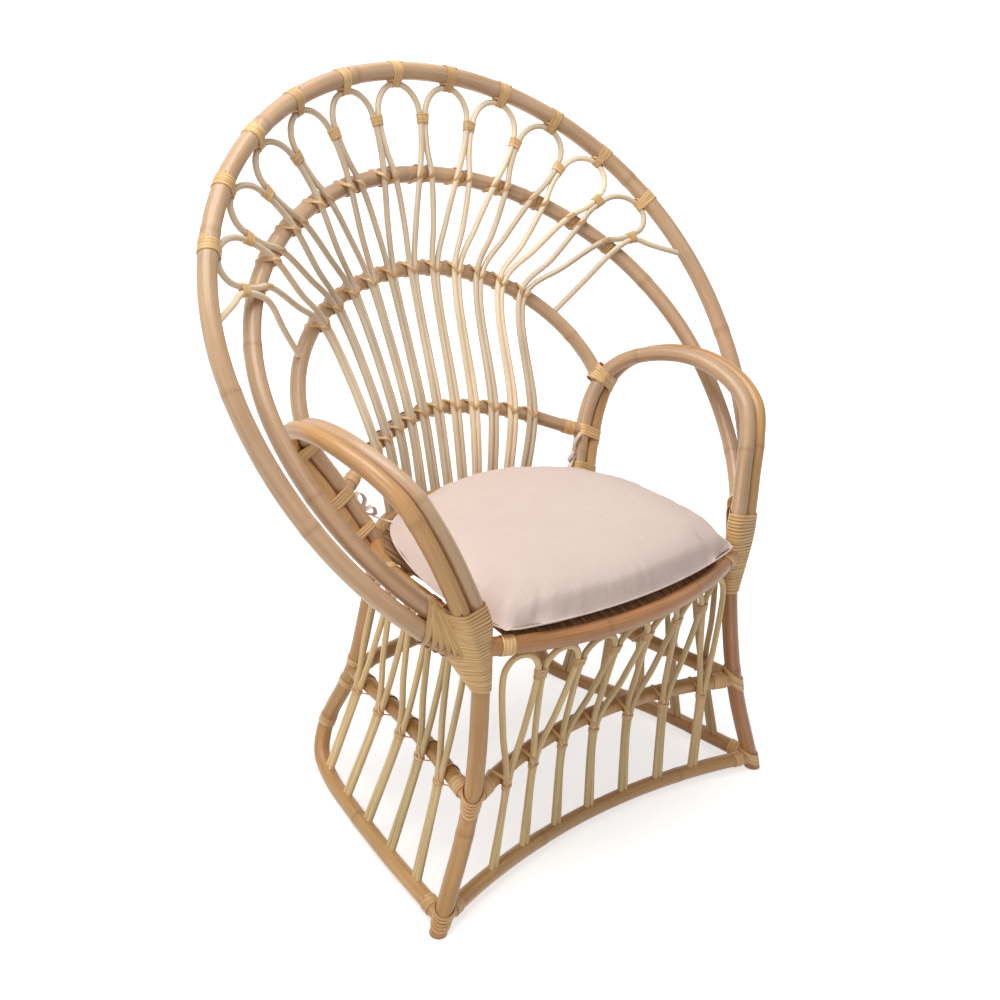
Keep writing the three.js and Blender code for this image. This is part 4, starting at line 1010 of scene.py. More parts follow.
class CaneLayer:
    """Flat strips laid on poles, gathered and then built as one object."""
    COLUMNS = (-1.0, -0.5, 0.5, 1.0)
    DOME = (0.45, 1.0, 1.0, 0.45)

    def __init__(self, seed):
        self.chance = random.Random(seed)
        self.strips = []

    def lay(self, points, normals, width, tone=None):
        if tone is None:
            shade = self.chance.uniform(-1, 1)
        else:
            shade = tone + self.chance.uniform(-TONE_SPREAD, TONE_SPREAD)
        self.strips.append((points, normals, width, shade))

    def mirror(self):
        """Adds the same strips on the other side of the chair."""
        for points, normals, width, shade in list(self.strips):
            self.strips.append((mirrored(points), mirrored(normals), width, -shade))

    def build(self, name, material, thickness):
        across_strip = len(self.COLUMNS)
        places, spread, shades, last_rows = [], [], [], set()
        for points, normals, width, shade in self.strips:
            run = self.chance.uniform(0, STRIP_STARTS)
            for i, (p, normal) in enumerate(zip(points, normals)):
                ahead = points[min(i + 1, len(points) - 1)]
                behind = points[max(i - 1, 0)]
                along = ahead - behind
                across = along.cross(normal).normalized()
                out = across.cross(along).normalized()
                for column, dome in zip(self.COLUMNS, self.DOME):
                    places.append(p + across * (column * width / 2) + out * (dome * thickness))
                    spread.append((run, column / 2 + 0.5))
                    shades.append(shade)
                run += (ahead - p).length * MM
            last_rows.add(len(places) // across_strip - 1)
        rows = len(places) // across_strip
        deselect()
        bpy.ops.mesh.primitive_grid_add(x_subdivisions=across_strip - 1, y_subdivisions=rows - 1)
        piece = bpy.context.object
        piece.name = name
        mesh = piece.data
        mesh.name = name
        mesh.vertices.foreach_set("co", placed(places).ravel())
        store(mesh, "tone", shades)
        spread = np.array(spread, dtype=np.float32)
        corner = np.empty(len(mesh.loops), dtype=np.int32)
        mesh.loops.foreach_get("vertex_index", corner)
        mesh.uv_layers[0].data.foreach_set("uv", spread[corner].ravel())
        for face in mesh.polygons:
            face.select = min(face.vertices) // across_strip in last_rows
        mesh.update()
        bpy.context.tool_settings.mesh_select_mode = (False, False, True)
        bpy.ops.object.mode_set(mode="EDIT")
        bpy.ops.mesh.delete(type="ONLY_FACE")
        bpy.ops.mesh.select_all(action="SELECT")
        bpy.ops.mesh.delete_loose(use_verts=False, use_edges=True, use_faces=False)
        bpy.ops.object.mode_set(mode="OBJECT")
        bpy.ops.object.modifier_add(type="SOLIDIFY")
        body = piece.modifiers[-1]
        body.thickness = thickness * MM
        body.offset = -1.0
        bpy.ops.object.modifier_apply(modifier=body.name)
        bpy.ops.object.shade_smooth_by_angle(angle=STRIP_EDGE_ANGLE)
        mesh.materials.append(material)
        return piece


def wind(layer, circles, axis, first_side, turns, pitch, width, lift=0.0, steps=TURN_STEPS, tone=None):
    """Winds a strip in a spiral round circles that lie side by side. Offsets run from its middle."""
    points, normals = [], []
    total = round(turns * steps)
    for i in range(total + 1):
        angle = 2 * math.pi * i / steps
        offset = (i / steps - turns / 2) * pitch
        heading = axis(offset)
        side = (first_side - heading * first_side.dot(heading)).normalized()
        square = heading.cross(side)
        out = side * math.cos(angle) + square * math.sin(angle)
        centre, radius = max(circles(offset), key=lambda c: c[0].dot(out) + c[1])
        points.append(centre + out * (radius + lift))
        normals.append(out)
    layer.lay(points, normals, width, tone)


def wrap(layer, pole, start, turns, pitch, width, first_side, lift=0.0, tone=None):
    """Winds a strip round one pole from a distance along it."""
    line = pole.line
    middle = start + turns * pitch / 2
    wind(layer, lambda s: [(line.at(middle + s), pole.radius)], lambda s: line.heading(middle + s),
         first_side, turns, pitch, width, lift, tone=tone)


def lash(layer, a, b, place, turns, pitch, width, first_side, lift=0.0, tone=None):
    """Winds a strip round two poles where they pass a place side by side."""
    start = a.line.near(place)

    def circles(offset):
        centre = a.line.at(start + offset)
        return [(centre, a.radius), (b.line.nearest(centre), b.radius)]

    wind(layer, circles, lambda s: a.line.heading(start + s), first_side, turns, pitch, width, lift,
         tone=tone)


def tie(layer, pole, rod, place, slant, width, tone=None):
    """Ties a rod to the pole behind it with a loop that crosses both at a slant."""
    start = pole.line.near(place)
    centre = pole.line.at(start)
    heading = pole.line.heading(start)
    if heading.x < 0:
        heading = -heading
    away = place - centre
    front = (away - heading * away.dot(heading)).normalized()
    along = heading * math.cos(slant) + front.cross(heading) * math.sin(slant)
    rod_heading = rod.line.heading(rod.line.near(place))
    rod_skew = max(rod_heading.cross(along).length, TIE_LEAST_SKEW)
    ovals = (
        (0.0, pole.radius / abs(math.sin(slant)), pole.radius),
        (away.dot(front), rod.radius / rod_skew, rod.radius),
    )
    points, normals = [], []
    for i in range(TIE_STEPS + 1):
        angle = 2 * math.pi * i / TIE_STEPS - math.pi / 2
        c, s = math.cos(angle), math.sin(angle)
        depth, long, short = max(ovals, key=lambda oval: oval[0] * s + math.hypot(oval[1] * c, oval[2] * s))
        size = math.hypot(long * c, short * s)
        out = along * c + front * s
        spot = centre + along * (long * long * c / size) + front * (depth + short * short * s / size)
        points.append(spot + out * TIE_LIFT)
        normals.append(out)
    layer.lay(points, normals, width, tone)


class Bench:
    """Places shader nodes in a tree and links them."""

    def __init__(self, tree):
        self.tree = tree

    def add(self, kind, **settings):
        node = self.tree.nodes.new(kind)
        for key, value in settings.items():
            setattr(node, key, value)
        return node

    def feed(self, socket, value):
        if isinstance(value, bpy.types.NodeSocket):
            self.tree.links.new(value, socket)
        elif socket.type == "RGBA":
            socket.default_value = (*value, 1.0)
        elif value is not None:
            socket.default_value = value

    def fill(self, node, *values):
        """Feeds a node's first sockets in their order."""
        for socket, value in zip(node.inputs, values):
            self.feed(socket, value)
        return node.outputs[0]

    def math(self, operation, a, b=None, clamp=False):
        return self.fill(self.add("ShaderNodeMath", operation=operation, use_clamp=clamp), a, b)

    def times(self, a, b, clamp=False):
        return self.math("MULTIPLY", a, b, clamp)

    def mix(self, share, a, b, blend="MIX"):
        node = self.add("ShaderNodeMix", data_type="RGBA", blend_type=blend)
        self.feed(node.inputs["Factor"], share)
        self.feed(node.inputs[6], a)
        self.feed(node.inputs[7], b)
        return node.outputs[2]

    def scaled(self, value, span, to):
        """Eases a value from one span over to another."""
        return self.fill(self.add("ShaderNodeMapRange", interpolation_type="SMOOTHSTEP"), value, *span, *to)

    def combine(self, x, y, z):
        return self.fill(self.add("ShaderNodeCombineXYZ"), x, y, z)

    def noise(self, vector, scale, detail=2.0, rough=0.5):
        node = self.add("ShaderNodeTexNoise")
        self.feed(node.inputs["Vector"], vector)
        node.inputs["Scale"].default_value = scale
        node.inputs["Detail"].default_value = detail
        node.inputs["Roughness"].default_value = rough
        return node.outputs["Fac"]

    def attribute(self, name):
        return self.add("ShaderNodeAttribute", attribute_name=name).outputs["Fac"]

    def place(self):
        return self.add("ShaderNodeTexCoord").outputs["Object"]

    def split(self, vector):
        node = self.add("ShaderNodeSeparateXYZ")
        self.feed(node.inputs[0], vector)
        return node.outputs

    def run_and_turn(self):
        """The piece's own UV map: length along a pole or strip, and turn round or across it."""
        return self.split(self.add("ShaderNodeUVMap", uv_map="UVMap").outputs[0])

    def seen_rays(self):
        """1 for the rays that show the background: straight, mirrored or through glass."""
        ray = self.add("ShaderNodeLightPath")
        seen = self.math("MAXIMUM", ray.outputs["Is Camera Ray"], ray.outputs["Is Glossy Ray"])
        return self.math("MAXIMUM", seen, ray.outputs["Is Transmission Ray"])


def new_group(name, inputs, outputs):
    """An empty node group with named sockets: (name, kind, default) in and (name, kind) out."""
    group = bpy.data.node_groups.new(name, "ShaderNodeTree")
    for label, kind, default in inputs:
        socket = group.interface.new_socket(label, in_out="INPUT", socket_type=kind)
        socket.default_value = default
    for label, kind in outputs:
        group.interface.new_socket(label, in_out="OUTPUT", socket_type=kind)
    bench = Bench(group)
    return group, bench, bench.add("NodeGroupInput"), bench.add("NodeGroupOutput")


FLOAT = "NodeSocketFloat"
COLOUR = "NodeSocketColor"


def make_fibre_group():
    """Long fibres that run along a pole or rod."""
    group, bench, given, result = new_group(
        "long_fibres",
        [("Around", FLOAT, 3.0), ("Along", FLOAT, 7.0)],
        [("Streak", FLOAT), ("Fine", FLOAT)])
    spread = bench.run_and_turn()
    turn = bench.times(spread[1], 2 * math.pi)
    around = given.outputs["Around"]
    x = bench.times(bench.math("COSINE", turn), around)
    y = bench.times(bench.math("SINE", turn), around)
    z = bench.times(spread[0], given.outputs["Along"])
    bench.feed(result.inputs["Streak"], bench.noise(bench.combine(x, y, z), 1.0, 3.0, 0.6))
    fine_z = bench.times(z, 2.5)
    bench.feed(result.inputs["Fine"], bench.noise(bench.combine(x, y, fine_z), 4.0, 2.0, 0.6))
    return group


def make_tone_group():
    """One piece a little lighter, darker or rosier than the next, and cloudy along its length."""
    group, bench, given, result = new_group(
        "hand_tone",
        [("Colour", COLOUR, (0.8, 0.6, 0.4, 1)), ("Spread", FLOAT, 0.1), ("Clouds", FLOAT, 0.12)],
        [("Colour", COLOUR)])
    tone = bench.attribute("tone")
    cloud = bench.math("SUBTRACT", bench.noise(bench.place(), 9.0, 2.0), 0.5)
    level = bench.times(tone, given.outputs["Spread"])
    clouds = bench.times(given.outputs["Clouds"], 3.0)
    level = bench.math("ADD", level, bench.times(cloud, clouds))
    shade = bench.add("ShaderNodeHueSaturation")
    bench.feed(shade.inputs["Color"], given.outputs["Colour"])
    bench.feed(shade.inputs["Value"], bench.math("ADD", level, 1.0))
    rosy = bench.times(bench.noise(bench.place(), 4.0, 1.0), -0.02)
    bench.feed(shade.inputs["Hue"], bench.math("ADD", rosy, 0.51))
    bench.feed(result.inputs["Colour"], shade.outputs[0])
    return group


def new_material(name):
    material = bpy.data.materials.new(name)
    material.use_nodes = True
    bench = Bench(material.node_tree)
    return material, bench, material.node_tree.nodes["Principled BSDF"]


def bump(bench, shader, height, strength, distance):
    node = bench.add("ShaderNodeBump")
    node.inputs["Strength"].default_value = strength
    node.inputs["Distance"].default_value = distance
    bench.feed(node.inputs["Height"], height)
    bench.feed(shader.inputs["Normal"], node.outputs[0])


class Finishes:
    """The chair's materials, made once."""

    def __init__(self, scene):
        poles, cane, cushion = scene.chair_poles, scene.chair_cane, scene.chair_cushion
        self.fibres = make_fibre_group()
        self.tones = make_tone_group()
        cut = poles.cut_colour
        self.hoop = self.pole("hoop_pole", poles.hoop_colour, poles.hoop_dark, cut)
        self.honey = self.pole("honey_pole", poles.honey_colour, poles.honey_dark, cut)
        self.chestnut = self.pole("chestnut_pole", poles.chestnut_colour, poles.chestnut_dark, cut)
        self.straw = self.rod("straw_rod", poles.straw_colour, poles.straw_dark, cut, 0.16)
        self.reed = self.rod("reed_rod", poles.reed_colour, poles.reed_dark, cut, 0.14)
        self.deck = self.rod("deck_rod", poles.deck_colour, poles.deck_dark, cut, 0.2)
        self.cane = self.strip("split_cane", cane.colour, cane.dark)
        self.cotton = self.cloth("blush_cotton", cushion.colour, cushion.dark)
        self.nail = self.metal("nail_head", cane.nail_colour)

    def fibre(self, bench, around, along):
        node = bench.add("ShaderNodeGroup", node_tree=self.fibres)
        bench.fill(node, around, along)
        return node.outputs["Streak"], node.outputs["Fine"]

    def tone(self, bench, colour, spread, clouds):
        return bench.fill(bench.add("ShaderNodeGroup", node_tree=self.tones), colour, spread, clouds)

    def pole(self, name, pale, dark, cut):
        """Peeled pole under a satin lacquer: soft streaks, growth rings and a few brown flecks."""
        material, bench, shader = new_material(name)
        streak, fine = self.fibre(bench, 1.6, 5.0)
        colour = bench.mix(bench.scaled(streak, (0.34, 0.68), (0.6, 0.0)), pale, dark)
        fleck = bench.scaled(fine, (0.62, 0.74), (0.0, 0.2))
        colour = bench.mix(fleck, colour, dark, "MULTIPLY")
        colour = self.tone(bench, colour, 0.07, 0.16)
        growth = bench.attribute("growth")
        colour = bench.mix(bench.times(growth, 0.32, clamp=True), colour, dark, "MULTIPLY")
        colour = bench.mix(bench.attribute("cut"), colour, cut)
        bench.feed(shader.inputs["Base Color"], colour)
        bench.feed(shader.inputs["Roughness"], bench.scaled(streak, (0.3, 0.7), (0.46, 0.32)))
        shader.inputs["Coat Weight"].default_value = 0.25
        shader.inputs["Coat Roughness"].default_value = 0.22
        height = bench.math("ADD", bench.times(streak, 0.6), bench.times(fine, 0.4))
        bump(bench, shader, height, 0.1, 0.0008)
        return material

    def rod(self, name, pale, dark, cut, spread):
        """Bare core rod: many fine fibres, matt, each rod of its own tone."""
        material, bench, shader = new_material(name)
        streak, fine = self.fibre(bench, 2.4, 7.0)
        colour = bench.mix(bench.scaled(streak, (0.32, 0.66), (0.7, 0.0)), pale, dark)
        colour = bench.mix(bench.scaled(fine, (0.5, 0.72), (0.0, 0.25)), colour, dark)
        colour = self.tone(bench, colour, spread, 0.14)
        colour = bench.mix(bench.attribute("cut"), colour, cut)
        bench.feed(shader.inputs["Base Color"], colour)
        bench.feed(shader.inputs["Roughness"], bench.scaled(fine, (0.3, 0.7), (0.62, 0.5)))
        bump(bench, shader, fine, 0.2, 0.0006)
        return material

    def strip(self, name, pale, dark):
        """Split cane: glossy skin with long streaks, and painted shade that darkens it towards its edges,
        where one turn meets the next.
        """
        material, bench, shader = new_material(name)
        run, turn, _ = bench.run_and_turn()
        tone = bench.attribute("tone")
        vector = bench.combine(bench.times(run, 14.0), bench.times(turn, 3.4), bench.times(tone, 40.0))
        streak = bench.noise(vector, 1.0, 3.0, 0.6)
        # Painted shade: the darkening towards the strip's edges stands in for the shadow where one turn meets
        # the next.
        edge = bench.math("ABSOLUTE", bench.math("SUBTRACT", turn, 0.5))
        edge = bench.scaled(edge, (0.28, 0.5), (0.0, 1.0))
        colour = bench.mix(bench.scaled(streak, (0.36, 0.7), (0.85, 0.0)), pale, dark)
        colour = bench.mix(bench.times(edge, 0.55), colour, dark, "MULTIPLY")
        colour = self.tone(bench, colour, 0.12, 0.1)
        bench.feed(shader.inputs["Base Color"], colour)
        bench.feed(shader.inputs["Roughness"], bench.scaled(streak, (0.3, 0.7), (0.46, 0.34)))
        shader.inputs["Coat Weight"].default_value = 0.1
        shader.inputs["Coat Roughness"].default_value = 0.3
        bump(bench, shader, streak, 0.25, 0.0006)
        return material

    def cloth(self, name, pale, dark):
        """Plain woven cotton: crossing threads with slubs, and a soft nap."""
        material, bench, shader = new_material(name)
        x, y, z = bench.split(bench.place())
        thread = 2 * math.pi / THREAD_PITCH
        warp = bench.math("SINE", bench.times(x, thread))
        weft = bench.math("SINE", bench.times(bench.math("ADD", y, z), thread))
        weave = bench.times(warp, weft)
        slubs = [
            bench.noise(bench.combine(bench.times(x, by_x), bench.times(y, by_y), z), 1.0)
            for by_x, by_y in SLUB_SCALES]
        slub = bench.times(*slubs)
        colour = bench.mix(bench.scaled(slub, (0.12, 0.4), (0.5, 0.0)), pale, dark)
        cloud = bench.noise(bench.place(), 14.0, 2.0)
        colour = bench.mix(bench.scaled(cloud, (0.35, 0.7), (0.25, 0.0)), colour, dark)
        bench.feed(shader.inputs["Base Color"], colour)
        bench.feed(shader.inputs["Roughness"], bench.scaled(slub, (0.1, 0.4), (0.95, 0.85)))
        shader.inputs["Sheen Weight"].default_value = 0.15
        shader.inputs["Sheen Roughness"].default_value = 0.5
        height = bench.math("ADD", bench.times(weave, 0.3), slub)
        bump(bench, shader, height, 0.3, 0.0005)
        return material

    def metal(self, name, colour):
        """Small iron nail heads with a little rust."""
        material, bench, shader = new_material(name)
        rust = bench.noise(bench.place(), 900.0, 2.0)
        bench.feed(shader.inputs["Base Color"], bench.mix(rust, colour, srgb(110, 84, 62)))
        bench.feed(shader.inputs["Roughness"], bench.scaled(rust, (0.3, 0.7), (0.4, 0.65)))
        shader.inputs["Metallic"].default_value = 0.8
        return material


finishes = None
BACK = vec(0, 1, 0.2)
UPRIGHT = vec(0, 0, 1)
REARWARD = vec(0, 1, 0)
INWARD = vec(-1, 0, 0)
LEFT_RIGHT = (("right", False), ("left", True))


def sided(pole, flip):
    return pole.flipped() if flip else pole


class CHAIR_OT_hoops(bpy.types.Operator):
    """Bends the three hoops of the back and its lower rail"""
    bl_idname = "chair.hoops"
    bl_label = "Hoops of the back"

    def execute(self, context):
        for node in ("outer_hoop", "middle_hoop", "inner_hoop", "back_rail"):
            pole_piece(node, getattr(lines, node), finishes.hoop)
        return {"FINISHED"}


class CHAIR_OT_arms(bpy.types.Operator):
    """Bends the two poles of each arm"""
    bl_idname = "chair.arms"
    bl_label = "Arms"

    def execute(self, context):
        for stem, material in (("arm_inner", finishes.hoop), ("arm_outer", finishes.honey)):
            for side, flip in LEFT_RIGHT:
                pole_piece(f"{stem}_{side}", sided(getattr(lines, stem), flip), material)
        return {"FINISHED"}


class CHAIR_OT_base(bpy.types.Operator):
    """Bends the legs, the side poles and the rails of the base"""
    bl_idname = "chair.base"
    bl_label = "Base"

    def execute(self, context):
        for side, flip in LEFT_RIGHT:
            for stem, pole, cut in (("front_leg", lines.leg, True), ("side_pole", lines.side_pole, True),
                                    ("side_mid_rail", lines.side_mid_rail, False)):
                node = f"{stem}_{side}"
                # The right front leg takes the darker chestnut finish: partly its own darker tone, partly
                # painted shade for the shadow it stands in.
                material = finishes.chestnut if node == "front_leg_right" else finishes.honey
                pole_piece(node, sided(pole, flip), material, floor_cut=cut)
        for node in ("front_bottom_rail", "front_mid_rail", "rear_mid_rail"):
            pole_piece(node, getattr(lines, node), finishes.honey)
        return {"FINISHED"}


class CHAIR_OT_seat(bpy.types.Operator):
    """Bends the seat's rails and lays its deck of rods on two bars"""
    bl_idname = "chair.seat"
    bl_label = "Seat frame and deck"

    def execute(self, context):
        sides = context.scene.chair_poles.rod_sides
        rail = lines.seat_front_rail
        pole_piece("seat_front_rail", rail, finishes.chestnut)
        pole_piece("seat_ring", lines.seat_ring, finishes.honey)
        deck_axis = SEAT_HEIGHT + DECK_TOP_RISE - ROD_DIAMETER / 2
        bar_axis = deck_axis - ROD_DIAMETER / 2 - SEAT_BAR_DIAMETER / 2 - CLEARANCE
        for node, forward in (("seat_bar_front", FRONT_BAR_FORWARD), ("seat_bar_rear", REAR_BAR_FORWARD)):
            reach = lines.ring_at(-forward).x
            ends = [vec(-reach, -forward, bar_axis), vec(reach, -forward, bar_axis)]
            bar = Pole(ends, SEAT_BAR_DIAMETER, BAR_SPACING)
            pole_piece(node, bar, finishes.chestnut)
        back = [p for p in lines.ring_half if p.y > -SEAT_WIDEST_FORWARD + 1]
        rods = []
        for i in range(DECK_RODS):
            x = DECK_ROD_FIRST + i * DECK_ROD_PITCH
            if abs(x) > SEAT_HALF_WIDTH - SIDE_POLE_DIAMETER:
                continue
            front_y = np.interp(x, [p.x for p in rail.stations], [p.y for p in rail.stations])
            back_y = np.interp(abs(x), [p.x for p in back], [p.y for p in back])
            sway = DECK_SWAY * math.sin(i * DECK_SWAY_STEP)
            low = DECK_STAGGER * (i % 2)
            line = Line([
                vec(x, front_y + DECK_END_IN, deck_axis - DECK_FRONT_DIP - low),
                vec(x + sway, front_y + DECK_FRONT_LEVEL, deck_axis - low),
                vec(x - sway, (front_y + back_y) / 2, deck_axis - low),
                vec(x, back_y - DECK_END_IN, deck_axis - DECK_BACK_DIP - low)], DECK_SPACING)
            rods.append(bend(f"deck_rod_{i}", line, ROD_DIAMETER, sides, finishes.deck, growth=False))
        finish_piece(join(rods, "seat_deck_rods"), ["seat_slats"])
        return {"FINISHED"}


class CHAIR_OT_fan(bpy.types.Operator):
    """Bends the hairpin rods of the fan back"""
    bl_idname = "chair.fan"
    bl_label = "Fan rods"

    def execute(self, context):
        for loop, rod in lines.fan_rods.items():
            rod_piece(f"fan_loop_{loop + (FAN_LOOPS + 1) // 2:02d}", rod, finishes.straw)
        for side, flip in LEFT_RIGHT:
            rod_piece(f"fan_end_rod_{side}", sided(lines.end_rod, flip), finishes.straw)
        return {"FINISHED"}


class CHAIR_OT_skirt(bpy.types.Operator):
    """Bends the hairpin rods of the base's skirts"""
    bl_idname = "chair.skirt"
    bl_label = "Skirt rods"

    def execute(self, context):
        for loop, rod in lines.front_rods.items():
            rod_piece(f"front_loop_{loop + (FRONT_LOOPS + 1) // 2}", rod, finishes.reed)
        for side, flip in LEFT_RIGHT:
            for loop, rod in lines.side_rods.items():
                rod_piece(f"side_loop_{side}_{loop + 1}", sided(rod, flip), finishes.reed)
        return {"FINISHED"}


def cane_piece(context, layer, name, nodes=()):
    piece = layer.build(name, finishes.cane, context.scene.chair_cane.thickness / MM)
    finish_piece(piece, nodes)


def end_wrap(layer, pole, margin, turns, width, first_side, lift, tone=None):
    """Close turns beside the far end of a pole."""
    pitch = width * CLOSE_PITCH
    wrap(layer, pole, pole.line.length - margin - turns * pitch, turns, pitch, width, first_side, lift, tone)


def lash_pair(layer, a, b, place, width, first_side, tone=None):
    """Binds two rods where their shoulders meet."""
    lash(layer, a, b, place, LASH_TURNS, width * LASH_PITCH, width * LASH_WIDTH, first_side, SNUG_LIFT, tone)


class CHAIR_OT_fan_bindings(bpy.types.Operator):
    """Binds the fan's rods to the hoops, to the lower rail and to each other"""
    bl_idname = "chair.fan_bindings"
    bl_label = "Fan bindings"

    def execute(self, context):
        width = context.scene.chair_cane.width / MM
        crowns, shoulders, crossings = CaneLayer("crowns"), CaneLayer("shoulders"), CaneLayer("crossings")
        rods = lines.fan_rods
        last = max(rods)
        ends = {-last - 1: lines.end_rod.flipped(), last + 1: lines.end_rod}
        front = vec(0, -1, 0.8).normalized()
        for loop, rod in rods.items():
            lash(crowns, lines.outer_hoop, rod, rod.stations[FAN_CROWN], CROWN_TURNS, width * CROWN_PITCH,
                 width, -front, EASY_LIFT)
            self.cross_strip(crowns, rod, front, width)
            slant = MIDDLE_SLANT_RIGHT if loop >= 0 else MIDDLE_SLANT_LEFT
            for i in (FAN_FOOT, -1 - FAN_FOOT):
                tie(crossings, lines.middle_hoop, rod, rod.stations[i], slant, width * MIDDLE_TIE_WIDTH)
            for pole, i in ((lines.inner_hoop, FAN_INNER), (lines.back_rail, FAN_RAIL)):
                tie(crossings, pole, rod, rod.stations[i], SLANT_LEFT, width)
                tie(crossings, pole, rod, rod.stations[-1 - i], SLANT_RIGHT, width)
        for loop in range(-last - 1, last + 1):
            a = rods.get(loop) or ends[loop]
            b = rods.get(loop + 1) or ends[loop + 1]
            place = a.stations[-1 - FAN_SHOULDER] if loop in rods else b.stations[FAN_SHOULDER]
            lash_pair(shoulders, a, b, place, width, vec(0, 1, -0.6))
            self.hoop_wrap(crossings, lines.middle_hoop, (loop + 0.5) * FAN_MIDDLE_PITCH, width)
        cane_piece(context, crowns, "fan_crown_bindings")
        cane_piece(context, shoulders, "fan_shoulder_bindings")
        cane_piece(context, crossings, "fan_crossing_ties")
        return {"FINISHED"}

    def cross_strip(self, layer, rod, front, width):
        """A strip that draws a crown binding together between the hoop and the rod."""
        hoop = lines.outer_hoop
        crown = rod.stations[FAN_CROWN]
        start = hoop.line.near(crown)
        centre = hoop.line.at(start)
        heading = hoop.line.heading(start)
        down = (crown - centre).normalized()
        outward = heading.cross(down)
        if outward.dot(front) < 0:
            outward = -outward
        middle = centre + down * (hoop.radius + TIE_LIFT)
        points, normals = [], []
        for i in range(CROSS_STEPS + 1):
            angle = 2 * math.pi * i / CROSS_STEPS - math.pi / 2
            c, s = math.cos(angle), math.sin(angle)
            points.append(middle + heading * (CROSS_HALF_LENGTH * c) + outward * (CROSS_HALF_DEPTH * s))
            normals.append(heading * c + outward * s)
        layer.lay(points, normals, width * CROSS_WIDTH)

    def hoop_wrap(self, layer, pole, place, width):
        """A loose turn or two on a hoop, between two rods."""
        start = pole.line.length / 2 + place - width * HOOP_WRAP_START
        wrap(layer, pole, start, HOOP_WRAP_TURNS, width * HOOP_WRAP_PITCH, width * HOOP_WRAP_WIDTH, BACK,
             tone=-0.6)


class CHAIR_OT_corner_windings(bpy.types.Operator):
    """Winds the front corners of the seat, where the arms, the hoops and the rails meet the legs"""
    bl_idname = "chair.corner_windings"
    bl_label = "Corner windings"

    def execute(self, context):
        width = context.scene.chair_cane.width / MM
        layer = CaneLayer("corners")
        leg, inner, outer = lines.leg, lines.arm_inner, lines.arm_outer
        middle_hoop, outer_hoop = lines.middle_hoop, lines.outer_hoop
        inside = vec(-0.7, 0.7, 0)
        root = leg.at_height(WINDING_LOW)
        leg_top = [p for p in leg.stations if p.z > WINDING_LOW - WINDING_CORE_UNDER]
        core = Line(leg_top + inner.stations[1:5], FINE_SPACING)
        beside = Line([root] + outer.stations[:5], FINE_SPACING)
        hoop_ends = [hoop.line.at(hoop.line.length - HOOP_IN_WINDING) for hoop in (outer_hoop, middle_hoop)]
        spread = Line([root] + hoop_ends + outer.stations[2:4], FINE_SPACING)
        low = core.near(root)
        high = core.near(inner.at_height(WINDING_HIGH))

        def axis(offset):
            heading = core.heading((low + high) / 2 + offset, WINDING_AXIS_REACH)
            return (heading + UPRIGHT).normalized()

        def corner_circles(offset):
            centre = core.at((low + high) / 2 + offset)
            square = axis(offset)
            return [(centre, leg.radius), (beside.crossing(centre, square), outer.radius),
                    (spread.crossing(centre, square), middle_hoop.radius)]

        pitch = width * WINDING_PITCH
        wind(layer, corner_circles, axis, inside, (high - low) / pitch, pitch, width, WINDING_LIFT,
             WINDING_STEPS)
        for k in range(HOOP_STRAPS):
            self.strap(layer, k, width * STRAP_WIDTHS, inside)
        for pole, margin, turns in ((lines.seat_front_rail, 22, 4.2), (lines.seat_ring, 24, 4.2)):
            end_wrap(layer, pole, margin, turns, width, vec(0, 0.2, -1), EASY_LIFT)
        layer.mirror()
        stems = ("arm_foot_binding", "leg_top_binding")
        nodes = [f"{stem}_{side}" for stem in stems for side, _ in LEFT_RIGHT]
        cane_piece(context, layer, "corner_windings", nodes)
        self.nails(outer)
        return {"FINISHED"}

    def strap(self, layer, number, width, inside):
        """One of a fan of wide strips round the ends of the two hoops."""
        upper, lower = lines.middle_hoop, lines.outer_hoop
        place = lower.line.length - STRAP_BOTTOM_FIRST - STRAP_BOTTOM_PITCH * number
        top = upper.line.at(upper.line.length - STRAP_TOP_FIRST - STRAP_TOP_PITCH * number)
        bottom = lower.line.at(place)
        up = (top - bottom).normalized()
        axis = up.cross(lower.line.heading(place).cross(up)).normalized()
        pair = [(top, upper.radius), (bottom, lower.radius)]
        lift = STRAP_LIFT + STRAP_STACK * (HOOP_STRAPS - number)
        wind(layer, lambda s: pair, lambda s: axis, inside, 1.0, 0.0, width, lift, STRAP_STEPS, tone=0.7)

    def nails(self, pole):
        """Small domed nails that pin the windings to the arm feet."""
        heads = []
        facing = vec(*NAIL_FACING).normalized()
        for distance in NAIL_PLACES:
            place = pole.line.at(distance) + facing * (pole.radius + NAIL_LIFT)
            for flip in (1, -1):
                out = vec(facing.x * flip, facing.y, facing.z)
                spot = placed([vec(place.x * flip, place.y, place.z)])[0]
                deselect()
                bpy.ops.mesh.primitive_circle_add(
                    vertices=NAIL_SIDES, radius=NAIL_RADIUS * MM, fill_type="NGON", location=spot,
                    rotation=out.to_track_quat("Z", "Y").to_euler())
                bpy.ops.object.transform_apply(location=True, rotation=True, scale=True)
                edit_all()
                rise = tuple(out * NAIL_HEIGHT * MM)
                bpy.ops.mesh.extrude_region_move(TRANSFORM_OT_translate={"value": rise})
                bpy.ops.mesh.inset(thickness=NAIL_INSET * MM)
                bpy.ops.transform.translate(value=tuple(out * NAIL_DOME * MM))
                bpy.ops.mesh.select_all(action="SELECT")
                bpy.ops.mesh.normals_make_consistent(inside=False)
                bpy.ops.object.mode_set(mode="OBJECT")
                bpy.ops.object.shade_smooth()
                bpy.context.object.data.materials.append(finishes.nail)
                heads.append(bpy.context.object)
        finish_piece(join(heads, "winding_nails"))


